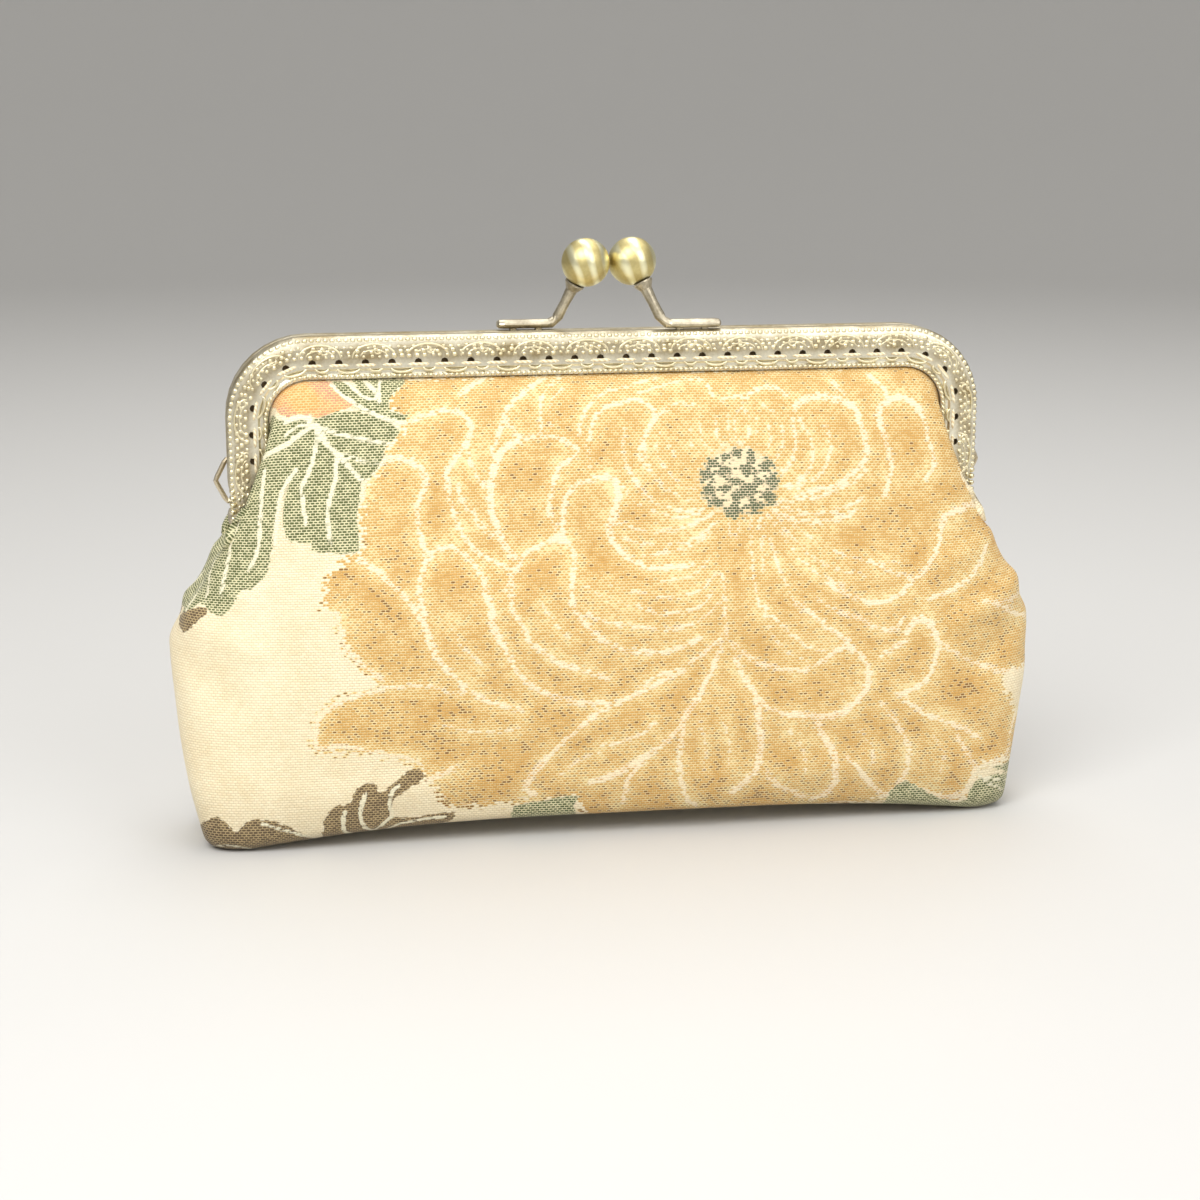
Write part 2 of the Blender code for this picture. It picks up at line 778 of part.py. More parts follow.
def lap_points(lap, lip, first, plain):
    """The cloth laps forward over the bar's end: under layer, fold edge and front layer.

    The fold edge runs from the band's inner edge down to the ridge column, half way along the
    bar's columns. The columns after it lie behind the ridge and fall in with the side seam.
    """
    ridge_lap = 0.5
    edge_z = lerp(BAR_END + LAP_HEIGHT, BAR_END - 1.2 * METAL, min(lap / ridge_lap, 1.0))
    edge_x = FRAME_WIDTH / 2 - BAND + (BAR_END + LAP_HEIGHT - edge_z) / LAP_HEIGHT * BAND * 0.98
    edge = (edge_x, HALF_DEPTH + 1.9 * CLOTH, edge_z)
    under = (lerp(lip[0], edge_x, 0.3), HALF_DEPTH + 1.4 * CLEARANCE, lerp(lip[2], edge_z, 0.5))
    front = tuple(lerp(a, b, 0.5) for a, b in zip(edge, first))
    laid = [under, edge, front]
    if lap <= ridge_lap:
        return laid
    behind = (lap - ridge_lap) / (1.0 - ridge_lap + 1.0 / BAR_COLUMNS)
    seam = seam_column(first)[3:]
    for row, sink in enumerate((behind * behind, behind, behind)):
        x, d, z = (lerp(a, b, behind) for a, b in zip(laid[row], seam[row]))
        laid[row] = (x, lerp(laid[row][1], seam[row][1], sink), z)
    return laid


def seam_column(first):
    """The side seam's column: from the hem's end, inside the ears and out under the bar's end."""
    hem_z = BAND_END + 1.5 * METAL
    inner_edge = FRAME_WIDTH / 2 - BAND
    ear_face = inner_ear_span()[1]
    deep_x = FRAME_WIDTH / 2 - METAL - HEM_INSET
    turn_x = ear_face - 1.6 * METAL
    return [
        (deep_x, HEM_FACE, hem_z),
        (inner_edge, HEM_FACE, hem_z),
        (inner_edge - 0.3 * METAL, 0.75 * HEM_FACE, BAND_END - 1.3 * METAL),
        (lerp(inner_edge, ear_face, 0.36), 0.5 * HEM_FACE, lerp(BAR_END, BAND_END, 0.38)),
        (turn_x, 0.2 * HEM_FACE, BAR_END - 1.6 * METAL),
        (lerp(turn_x, first[0], 0.5), 0.0, lerp(BAR_END - 1.6 * METAL, first[2], 0.5)),
    ]


def cloth_columns():
    """Every column of the front panel's right half, centre to seam, as lists of (x, d, z)."""
    starts = column_starts()
    shares = column_shares(starts)
    rings = body_rings(shares)
    columns = []
    for i, start in enumerate(starts):
        columns.append(drape_column(start, rings[0][i]) + [ring[i] for ring in rings])
    columns.append(seam_column(rings[0][-1]) + [ring[-1] for ring in rings])
    return columns


def outer_surface(mesh_data):
    """The cloth's outer face with its rim open. Returns the wall thickness at each vertex."""
    columns = cloth_columns()
    last = len(columns) - 1
    rows = len(columns[0])
    corner = TOP_COLUMNS + CORNER_COLUMNS
    thickness = {}
    grid = {}

    def vertex(x, y, z, row):
        made = mesh_data.verts.new((x, y, z))
        thickness[made] = (HEM, HEM, lerp(CLOTH, HEM, 0.5))[row] if row < 3 else CLOTH
        return made

    for side in (-1, 1):
        for i in range(-last, last + 1):
            for row, (x, d, z) in enumerate(columns[abs(i)]):
                shared = abs(i) == last and row >= SLIT_ROWS
                if shared and side > 0:
                    grid[side, i, row] = grid[-1, i, row]
                    continue
                grid[side, i, row] = vertex(math.copysign(x, i), side * d, z, row)
    for side in (-1, 1):
        for i in range(-last, last):
            for row in range(rows - 1):
                mesh_data.faces.new((
                    grid[side, i, row],
                    grid[side, i + 1, row],
                    grid[side, i + 1, row + 1],
                    grid[side, i, row + 1],
                ))
    add_base(mesh_data, grid, vertex, last, rows, corner)
    return thickness


def add_base(mesh_data, grid, vertex, last, rows, corner):
    """The base: cross rows between the front and back edges, and a patch at each end."""
    side_steps = last - corner
    across = 2 * side_steps
    cross = {}
    for i in range(-corner, corner + 1):
        front = grid[-1, i, rows - 1]
        back = grid[1, i, rows - 1]
        cross[i] = [front]
        for k in range(1, across):
            y = lerp(front.co.y, back.co.y, k / across)
            cross[i].append(vertex(front.co.x, y, front.co.z, rows))
        cross[i].append(back)
    for i in range(-corner, corner):
        for k in range(across):
            mesh_data.faces.new((cross[i][k], cross[i + 1][k], cross[i + 1][k + 1], cross[i][k + 1]))
    for end in (-1, 1):
        edge = [grid[-1, end * (corner + k), rows - 1] for k in range(side_steps + 1)]
        edge += [grid[1, end * (last - k), rows - 1] for k in range(1, side_steps + 1)]
        inner = cross[end * corner]
        for k in range(across):
            corners = [inner[k], edge[k], edge[k + 1], inner[k + 1]]
            corners = [point for j, point in enumerate(corners) if point not in corners[:j]]
            mesh_data.faces.new(corners)


def cloth_body(name):
    """Thicken the outer face inwards and close the rim."""
    body = bmesh.new()
    thickness = outer_surface(body)
    bmesh.ops.recalc_face_normals(body, faces=body.faces)
    body.normal_update()
    seam_face = max(body.faces, key=lambda face: face.calc_center_median().x)
    if seam_face.normal.x < 0:
        bmesh.ops.reverse_faces(body, faces=body.faces)
        body.normal_update()
    outer_faces = list(body.faces)
    rim = [edge for edge in body.edges if edge.is_boundary]
    inner = {}
    for point in list(body.verts):
        evened = point.calc_shell_factor()
        inner[point] = body.verts.new(point.co - point.normal * (thickness[point] * min(evened, 1.25)))
    for face in outer_faces:
        body.faces.new([inner[point] for point in reversed(face.verts)])
    for edge in rim:
        a, b = edge.verts
        body.faces.new((a, b, inner[b], inner[a]))
    return finish(name, body, BROCADE, 60)


def build():
    clear_scene()
    frame_half("front_frame", -1)
    frame_half("back_frame", 1)
    hinge_rivet("left_hinge_rivet", -1)
    hinge_rivet("right_hinge_rivet", 1)
    clasp_arm("front_clasp_arm", -1)
    clasp_arm("back_clasp_arm", 1)
    clasp_ball("front_clasp_ball", -1)
    clasp_ball("back_clasp_ball", 1)
    side_loop("left_loop", -1)
    side_loop("right_loop", 1)
    cloth_body("pouch_body")


build()
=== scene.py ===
# %% [markdown]
# # A floral brocade pouch with a kiss-lock frame
#
# The real object is a small handbag-sized pouch: woven brocade, sewn into a pierced and embossed
# brass frame that snaps shut with two balls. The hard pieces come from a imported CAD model, the
# fixed frame of this script. We load it, give the metal its finish and relief, and sew a finer
# cloth body in place of the plain CAD one.

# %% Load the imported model
import math

import bmesh
import bpy
import numpy as np
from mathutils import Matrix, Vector


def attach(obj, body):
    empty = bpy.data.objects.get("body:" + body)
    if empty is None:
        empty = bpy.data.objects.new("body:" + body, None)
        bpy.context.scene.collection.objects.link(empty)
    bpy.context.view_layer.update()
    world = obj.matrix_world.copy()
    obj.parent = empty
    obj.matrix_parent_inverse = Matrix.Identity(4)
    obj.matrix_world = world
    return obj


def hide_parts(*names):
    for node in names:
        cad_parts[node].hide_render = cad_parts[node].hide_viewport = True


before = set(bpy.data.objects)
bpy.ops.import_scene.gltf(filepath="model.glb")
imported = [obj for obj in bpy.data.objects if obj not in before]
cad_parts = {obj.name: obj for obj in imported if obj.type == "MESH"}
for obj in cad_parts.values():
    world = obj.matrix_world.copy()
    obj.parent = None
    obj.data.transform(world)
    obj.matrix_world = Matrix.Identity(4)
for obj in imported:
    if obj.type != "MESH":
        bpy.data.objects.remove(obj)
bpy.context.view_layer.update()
print("CAD nodes:", sorted(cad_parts))

# %% [markdown]
# ## The camera, the floor and the light
#
# The photograph was taken from a little left of the middle and a little above. The camera's place
# was worked out from the frame's corners, the balls and the ends of the base. A pale sweep and
# large soft lamps stand in for a plain studio.

# %% Camera
MM = 0.001
AZIMUTH, ELEVATION = math.radians(-10.05), math.radians(13.0)
DISTANCE = 550.0 * MM
TARGET = Vector((-2.117, 0.0, 53.551)) * MM
LENS = 68.14


def direction(azimuth, elevation):
    """The way from the object towards a place seen at these angles."""
    flat = math.cos(elevation)
    return Vector((math.sin(azimuth) * flat, -math.cos(azimuth) * flat, math.sin(elevation)))


camera = bpy.data.objects.new("camera", bpy.data.cameras.new("camera"))
bpy.context.scene.collection.objects.link(camera)
bpy.context.scene.camera = camera
camera.data.lens = LENS
camera.data.sensor_width = 36.0
camera.data.clip_start = 0.01
toward = direction(AZIMUTH, ELEVATION)
camera.location = TARGET + toward * DISTANCE
camera.rotation_euler = toward.to_track_quat("Z", "Y").to_euler()
print("camera at", [round(v, 3) for v in camera.location])


# %% Soft lamps
def studio_lamp(name, azimuth, elevation, distance, size, energy):
    """A square soft lamp that looks at the middle of the pouch."""
    data = bpy.data.lights.new(name, "AREA")
    data.size = size
    data.energy = energy
    lamp = bpy.data.objects.new(name, data)
    bpy.context.scene.collection.objects.link(lamp)
    way = direction(math.radians(azimuth), math.radians(elevation))
    lamp.location = TARGET + way * distance
    lamp.rotation_euler = way.to_track_quat("Z", "Y").to_euler()
    return lamp


studio_lamp("key_lamp", -35, 45, 0.9, 0.55, 6.2)
studio_lamp("fill_lamp", 35, 30, 1.1, 0.8, 4.4)
studio_lamp("top_lamp", 100, 70, 0.9, 0.5, 1.6)
studio_lamp("back_lamp", 170, 58, 1.1, 0.6, 3.0)
print(len(bpy.data.lights), "lamps")

# %% The room's own light
# It is darker near eye level, so that metal has something dark to reflect
EYE_LEVEL, OVERHEAD = 0.10, 0.66
world = bpy.data.worlds.new("studio")
world.use_nodes = True
sky = world.node_tree
upward = sky.nodes.new("ShaderNodeSeparateXYZ")
sky.links.new(sky.nodes.new("ShaderNodeTexCoord").outputs["Generated"], upward.inputs[0])
ramp = sky.nodes.new("ShaderNodeMapRange")
sky.links.new(upward.outputs[2], ramp.inputs[0])
for socket, value in zip(ramp.inputs[1:5], (0.0, 0.75, EYE_LEVEL, OVERHEAD)):
    socket.default_value = value
sky.nodes["Background"].inputs["Color"].default_value = (1.0, 0.99, 0.97, 1.0)
sky.links.new(ramp.outputs[0], sky.nodes["Background"].inputs["Strength"])
bpy.context.scene.world = world
bpy.context.scene.view_settings.view_transform = "Standard"
print("room light from", EYE_LEVEL, "to", OVERHEAD)

# %% A floor that rises all round
# It is level under the pouch and rises in a wide curve, so no horizon shows from any side
FLOOR_REACH, SWEEP_RADIUS, SWEEP_TOP, ROUND = 1.5, 1.0, 1.7, 96
profile = [(FLOOR_REACH + SWEEP_RADIUS * math.sin(a), SWEEP_RADIUS * (1 - math.cos(a)))
           for a in np.linspace(0, math.pi / 2, 25)] + [(FLOOR_REACH + SWEEP_RADIUS, SWEEP_TOP)]
turns = [2 * math.pi * k / ROUND for k in range(ROUND)]
floor_points = [(r * math.cos(t), r * math.sin(t), z) for r, z in profile for t in turns]
floor_faces = [tuple(range(ROUND))]
for ring in range(len(profile) - 1):
    for k in range(ROUND):
        a, b = ring * ROUND + k, ring * ROUND + (k + 1) % ROUND
        floor_faces.append((a, a + ROUND, b + ROUND, b))
floor_mesh = bpy.data.meshes.new("floor")
floor_mesh.from_pydata(floor_points, [], floor_faces)
floor_mesh.shade_smooth()
floor = bpy.data.objects.new("floor", floor_mesh)
bpy.context.scene.collection.objects.link(floor)
floor_paint = bpy.data.materials.new("pale_floor")
floor_paint.use_nodes = True
floor_paint.node_tree.nodes["Principled BSDF"].inputs["Base Color"].default_value = (0.62, 0.61, 0.59, 1)
floor_paint.node_tree.nodes["Principled BSDF"].inputs["Roughness"].default_value = 0.6
floor_mesh.materials.append(floor_paint)
print("floor:", len(floor_faces), "faces")

# %% [markdown]
# ## The cloth body's shape
#
# On the real pouch two brocade panels are sewn together at the sides and under a boxed base, and
# their tops are stitched into the frame's channel. The shape follows a rule: vertical columns of
# cloth leave the frame's inverted U at even steps and fall over a handful of level rings. We
# write that rule down once for a quarter of the body, in millimetres, and mirror it.

# %% Sizes of the frame and the body
# In millimetres and shares, the same as the CAD model's
FRAME_TOP = 119.0
FRAME_WIDTH = 180.0
FRAME_CORNER = 19.0
BAND = 9.6
HALF_DEPTH = 6.0
METAL = 0.9
CLEARANCE = 0.3
BAR_END = 74.5
END_SLOPE = 13.2
END_LEAN = 1.0
BAND_END = BAR_END + END_SLOPE
TOP_STRAIGHT = FRAME_WIDTH / 2 - FRAME_CORNER
CORNER_CENTRE = FRAME_TOP - FRAME_CORNER
SLOT_FACE = HALF_DEPTH - METAL
HEM_FACE = SLOT_FACE - CLEARANCE
EAR_FACE = FRAME_WIDTH / 2 - END_LEAN - 0.8 * METAL - CLEARANCE - 0.9 * METAL
HEM_INSET = 1.7
CLOTH = 1.5

BODY_WIDTH, BODY_DEPTH = 209.8, 44.0
SHOULDER_HEIGHT = 47.5
BASE_WIDTH, BASE_DEPTH = 198.0, 38.0
BASE_EDGE, BASE_ARCH = 4.5, 4.7
BASE_SQUARENESS, BASE_REST = 8.0, 0.90
ARCH_POWER, ARCH_FADE = 3.0, 0.55
LAP_HEIGHT, LIP_TURN = 16.5, 1.2
SEAM_VALLEY, VALLEY_REACH = 1.6, 5.0
TOP_COLUMNS, CORNER_COLUMNS, BAR_COLUMNS = 8, 4, 4
SLIT_ROWS = 5

# Share of the fall, share of the swell, from the frame's lip to the first ring
DRAPE = ((0.10, 0.25), (0.30, 0.49), (0.62, 0.76))
# Rise towards the bar ends, narrowing, depth, squareness, valley between the laps
UPPER_RINGS = (
    (0.80, 0.74, 0.84, 3.6, 1.0),
    (0.58, 0.53, 0.91, 3.3, 0.6),
    (0.30, 0.22, 0.97, 3.1, 0.2),
)
# Height share, share of the way from base to widest, squareness
LOWER_RINGS = ((1.00, 1.00, 3.1), (0.66, 0.80, 3.8), (0.32, 0.42, 5.0))
# Rounded lower edge: shares of its radius inwards and upwards
BASE_EDGE_STEPS = ((0.00, 1.00), (0.13, 0.50), (0.50, 0.13), (1.00, 0.00))


# %% Rings and columns of a quarter of the body
def lerp(low, high, share):
    return low + (high - low) * share


def ring_line(half_width, half_depth, squareness, shares):
    """Points of a quarter superellipse, front middle to side, at shares of its length."""
    angle = np.linspace(0, math.pi / 2, 241)
    x = half_width * np.sin(angle) ** (2 / squareness)
    d = half_depth * np.maximum(np.cos(angle), 0) ** (2 / squareness)
    d[-1] = 0.0
    run = np.concatenate([[0], np.cumsum(np.hypot(np.diff(x), np.diff(d)))])
    want = np.array(shares) * run[-1]
    return list(zip(np.interp(want, run, x), np.interp(want, run, d)))


def column_starts():
    """Where the columns leave the frame: x, z, inward x and z, lap share."""
    starts = [(TOP_STRAIGHT * i / TOP_COLUMNS, FRAME_TOP, 0.0, -1.0, 0.0) for i in range(TOP_COLUMNS)]
    for i in range(CORNER_COLUMNS + 1):
        angle = math.pi / 2 * i / CORNER_COLUMNS
        out_x, out_z = math.sin(angle), math.cos(angle)
        starts.append((TOP_STRAIGHT + FRAME_CORNER * out_x, CORNER_CENTRE + FRAME_CORNER * out_z,
                       -out_x, -out_z, 0.0))
    rim_end = BAND_END + 2.9 * METAL
    for i in range(1, BAR_COLUMNS + 1):
        share = i / BAR_COLUMNS
        starts.append((FRAME_WIDTH / 2, lerp(CORNER_CENTRE, rim_end, share), -1.0, 0.0, share))
    return starts


def column_shares(starts):
    """How far along each ring a column runs, the side seam being 1."""
    inner = [(x + BAND * in_x, z + BAND * in_z) for x, z, in_x, in_z, lap in starts]
    run = np.concatenate([[0], np.cumsum([math.dist(a, b) for a, b in zip(inner, inner[1:])])])
    return list(run / (run[-1] + 1.4 * METAL)) + [1.0]


def rest_arch(x, half_width):
    """Height of the base above the table, which its two ends touch."""
    return BASE_ARCH * (1 - min(abs(x) / (half_width * BASE_REST), 1.0) ** ARCH_POWER)


def ease(share):
    share = min(max(share, 0.0), 1.0)
    return share * share * (3 - 2 * share)


def body_rings(shares):
    """The rings below the frame as lists of (x, depth, z), top one first."""
    belly, base = BODY_WIDTH / 2, BASE_WIDTH / 2
    rings = []
    for rise, narrow, depth, square, valley in UPPER_RINGS:
        z = lerp(SHOULDER_HEIGHT, BAR_END, rise)
        line = ring_line(lerp(belly, FRAME_WIDTH / 2, narrow), depth * BODY_DEPTH / 2, square, shares)
        sink = valley * SEAM_VALLEY
        rings.append([(x - sink * math.exp(-(d / VALLEY_REACH) ** 2), d, z) for x, d in line])
    for height, swell, square in LOWER_RINGS:
        half_depth = lerp(BASE_DEPTH, BODY_DEPTH, ease(swell * 1.2)) / 2
        line = ring_line(lerp(base, belly, swell), half_depth, square, shares)
        rings.append([(x, d, height * SHOULDER_HEIGHT) for x, d in line])
    for inward, upward in BASE_EDGE_STEPS:
        inset = inward * BASE_EDGE
        line = ring_line(base - inset, BASE_DEPTH / 2 - inset, BASE_SQUARENESS, shares)
        rings.append([(x, d, upward * BASE_EDGE) for x, d in line])
    return [[(x, d, z + rest_arch(x, base) * max(1 - z / (ARCH_FADE * SHOULDER_HEIGHT), 0))
             for x, d, z in ring] for ring in rings]


# %% How a column leaves the frame and laps over the bar ends
def drape_column(start, first):
    """Hem, lip and drape points of one column, down to its point on the first ring."""
    x, z, in_x, in_z, lap = start
    deep, lip_inset = METAL + HEM_INSET, BAND + LIP_TURN
    lip = (x + lip_inset * in_x, HALF_DEPTH + 1.5 * CLEARANCE, z + lip_inset * in_z)
    hem = [(x + deep * in_x, HEM_FACE, z + deep * in_z), (x + BAND * in_x, HEM_FACE, z + BAND * in_z)]
    if lap > 0.0:
        return hem + [lip] + lap_points(lap, lip, first)
    return hem + [lip] + [(lerp(lip[0], first[0], fall), lerp(lip[1], first[1], swell),
                           lerp(lip[2], first[2], fall)) for fall, swell in DRAPE]


def lap_points(lap, lip, first):
    """The cloth laps forward over the bar's end: under layer, fold edge and front layer."""
    ridge_lap = 0.5
    edge_z = lerp(BAR_END + LAP_HEIGHT, BAR_END - 1.2 * METAL, min(lap / ridge_lap, 1.0))
    edge_x = FRAME_WIDTH / 2 - BAND + (BAR_END + LAP_HEIGHT - edge_z) / LAP_HEIGHT * BAND * 0.98
    edge = (edge_x, HALF_DEPTH + 1.9 * CLOTH, edge_z)
    under = (lerp(lip[0], edge_x, 0.3), HALF_DEPTH + 1.4 * CLEARANCE, lerp(lip[2], edge_z, 0.5))
    laid = [under, edge, tuple(lerp(a, b, 0.5) for a, b in zip(edge, first))]
    if lap <= ridge_lap:
        return laid
    behind = (lap - ridge_lap) / (1.0 - ridge_lap + 1.0 / BAR_COLUMNS)
    seam = seam_column(first)[3:]
    for row, sink in enumerate((behind * behind, behind, behind)):
        x, d, z = (lerp(a, b, behind) for a, b in zip(laid[row], seam[row]))
        laid[row] = (x, lerp(laid[row][1], seam[row][1], sink), z)
    return laid


def seam_column(first):
    """The side seam's column: inside the hinge and out under the bar's end."""
    inner_edge = FRAME_WIDTH / 2 - BAND
    turn_x, turn_z = EAR_FACE - 1.6 * METAL, BAR_END - 1.6 * METAL
    return [
        (FRAME_WIDTH / 2 - METAL - HEM_INSET, HEM_FACE, BAND_END + 1.5 * METAL),
        (inner_edge, HEM_FACE, BAND_END + 1.5 * METAL),
        (inner_edge - 0.3 * METAL, 0.75 * HEM_FACE, BAND_END - 1.3 * METAL),
        (lerp(inner_edge, EAR_FACE, 0.36), 0.5 * HEM_FACE, lerp(BAR_END, BAND_END, 0.38)),
        (turn_x, 0.2 * HEM_FACE, turn_z),
        (lerp(turn_x, first[0], 0.5), 0.0, lerp(turn_z, first[2], 0.5)),
    ]


def quarter_grid():
    """The quarter body as an array of columns by rows by (x, depth, z)."""
    starts = column_starts()
    rings = body_rings(column_shares(starts))
    columns = [drape_column(start, rings[0][i]) + [ring[i] for ring in rings]
               for i, start in enumerate(starts)]
    columns.append(seam_column(rings[0][-1]) + [ring[-1] for ring in rings])
    return np.array(columns)


coarse = quarter_grid()
print("quarter grid:", coarse.shape[0], "columns by", coarse.shape[1], "rows")

# %% [markdown]
# ### From a coarse grid to smooth cloth
#
# The coarse grid is what the CAD solid has. Cloth needs a point about every 0.8 mm, both to look
# smooth and to carry the woven pattern. A monotone cubic curve passes through every coarse point
# without overshooting, so the fine panels keep the CAD body's shape exactly.

# %% Smooth, evenly stepped panels
STEP = 0.88


def smooth_steps(points, counts):
    """Monotone cubic curves along the first axis, each interval cut into its own count of steps."""
    length = np.maximum(np.linalg.norm(np.diff(points, axis=0), axis=-1), 1e-6)[..., None]
    slope = np.diff(points, axis=0) / length
    before, after = slope[:-1], slope[1:]
    near, far = 2 * length[1:] + length[:-1], length[1:] + 2 * length[:-1]
    same = before * after > 0
    safe_before, safe_after = np.where(same, before, 1), np.where(same, after, 1)
    inside = np.where(same, (near + far) / (near / safe_before + far / safe_after), 0)
    tangent = np.concatenate([slope[:1], inside, slope[-1:]])
    made = []
    for k, count in enumerate(counts):
        for step in range(count):
            t = step / count
            made.append(points[k] * (1 + 2 * t) * (1 - t) ** 2
                        + points[k + 1] * t * t * (3 - 2 * t)
                        + length[k] * (tangent[k] * t * (1 - t) ** 2 - tangent[k + 1] * t * t * (1 - t)))
    made.append(points[-1])
    return np.array(made)


def step_counts(points):
    """How many steps each interval of the first axis needs."""
    span = np.linalg.norm(np.diff(points, axis=0), axis=-1)
    return np.maximum(np.ceil(np.percentile(span, 80, axis=1) / STEP), 2).astype(int)


def fine_grid(points):
    """The quarter grid in steps of about STEP, and the fine row where the side slit ends."""
    row_counts = step_counts(points.transpose(1, 0, 2))
    rows = smooth_steps(points.transpose(1, 0, 2), row_counts).transpose(1, 0, 2)
    mirrored = rows[1:2] * np.array([-1, 1, 1])
    column_counts = step_counts(points)
    with_mirror = np.concatenate([mirrored, rows])
    columns = smooth_steps(with_mirror, [1] + list(column_counts))[1:]
    corner = int(sum(column_counts[:TOP_COLUMNS + CORNER_COLUMNS]))
    return columns, int(sum(row_counts[:SLIT_ROWS])), int(sum(row_counts[:1])) + 1, corner


fine, slit_row, lip_row, corner_column = fine_grid(coarse)
print("fine grid:", fine.shape, "slit ends at row", slit_row, "corner column", corner_column)


# %% A panel: one wall and half of the base
def panel_arrays(side):
    """Points, faces and cloth coordinates of the front (-1) or back (1) panel."""
    count, rows = fine.shape[0] - 1, fine.shape[1]
    signed = np.concatenate([fine[:0:-1] * np.array([-1, 1, 1]), fine])
    points = signed.reshape(-1, 3).copy()
    # On the cloth, u runs out from the middle column and v rises from the base, as on a flat panel
    across = np.linalg.norm(np.diff(signed, axis=0), axis=-1)
    down = np.linalg.norm(np.diff(signed, axis=1), axis=-1)
    middle_row = int(np.argmin(abs(fine[0, :, 2] - SHOULDER_HEIGHT)))
    u = np.concatenate([np.zeros((1, rows)), np.cumsum(across, axis=0)])
    u = u - u[count]
    v = np.concatenate([np.zeros((2 * count + 1, 1)), np.cumsum(down, axis=1)], axis=1)
    v = SHOULDER_HEIGHT + v[:, middle_row:middle_row + 1] - v
    cloth = np.stack([u, v], axis=-1).reshape(-1, 2)
    index = np.arange((2 * count + 1) * rows).reshape(2 * count + 1, rows)
    quads = np.stack([index[:-1, :-1], index[1:, :-1], index[1:, 1:], index[:-1, 1:]], axis=-1)
    faces = [tuple(face) for face in quads.reshape(-1, 4).tolist()]
    # Each column goes on under the wall, straight to the middle line of the base
    half = count - corner_column
    base_points, base_cloth, cross = [], [], {}
    for i in range(-corner_column, corner_column + 1):
        edge = int(index[i + count, rows - 1])
        cross[i] = [edge]
        x, depth, z = points[edge]
        for k in range(1, half + 1):
            cross[i].append(len(points) + len(base_points))
            base_points.append((x, depth * (1 - k / half), z))
            base_cloth.append((cloth[edge][0], cloth[edge][1] - depth * k / half))
    for i in range(-corner_column, corner_column):
        for k in range(half):
            faces.append((cross[i][k], cross[i + 1][k], cross[i + 1][k + 1], cross[i][k + 1]))
    # The columns of the pouch's ends meet the last of those from the side
    for end in (-1, 1):
        edge = [int(index[end * (corner_column + k) + count, rows - 1]) for k in range(half + 1)]
        inner = cross[end * corner_column]
        for k in range(half):
            ring = [inner[k], edge[k], edge[k + 1], inner[k + 1]]
            ring = ring[1:] if k == 0 else ring
            faces.append(tuple(ring if end > 0 else ring[::-1]))
    points = np.concatenate([points, base_points])
    cloth = np.concatenate([cloth, base_cloth])
    points[:, 1] *= side
    if side < 0:
        faces = [face[::-1] for face in faces]
    return points, faces, cloth


CLOTH_UNIT = 100.0


def panel_object(name, side):
    """A panel as a mesh object, with its cloth coordinates in a UV map, CLOTH_UNIT to one."""
    points, faces, cloth = panel_arrays(side)
    mesh = bpy.data.meshes.new(name)
    mesh.from_pydata((points * MM).tolist(), [], faces)
    uv = mesh.uv_layers.new(name="cloth")
    corners = np.zeros(len(mesh.loops), np.int32)
    mesh.loops.foreach_get("vertex_index", corners)
    uv.data.foreach_set("uv", (cloth[corners] / CLOTH_UNIT).astype(np.float32).ravel())
    mesh.shade_smooth()
    panel = bpy.data.objects.new(name, mesh)
    bpy.context.scene.collection.objects.link(panel)
    shaped = bmesh.new()
    shaped.from_mesh(mesh)
    shaped.normal_update()
    lowest = min(shaped.faces, key=lambda face: face.calc_center_median().z)
    print(name, len(mesh.vertices), "points,", "base faces", "down" if lowest.normal.z < 0 else "UP")
    shaped.free()
    return panel


front_panel = panel_object("front_panel", -1)
back_panel = panel_object("back_panel", 1)

# %% [markdown]
# ## The woven flower
#
# The brocade shows one large chrysanthemum in gold, with pale petal outlines, on a cream ground,
# and green and brown leaves round it. A picture could carry this, but a drawing in the cloth's own
# millimetres stays sharp and scales with the cloth. Each outline is a short table of points. We
# measure how far every point of the panel lies from the outlines, store that on the mesh, and let
# the material turn distances into woven edges.

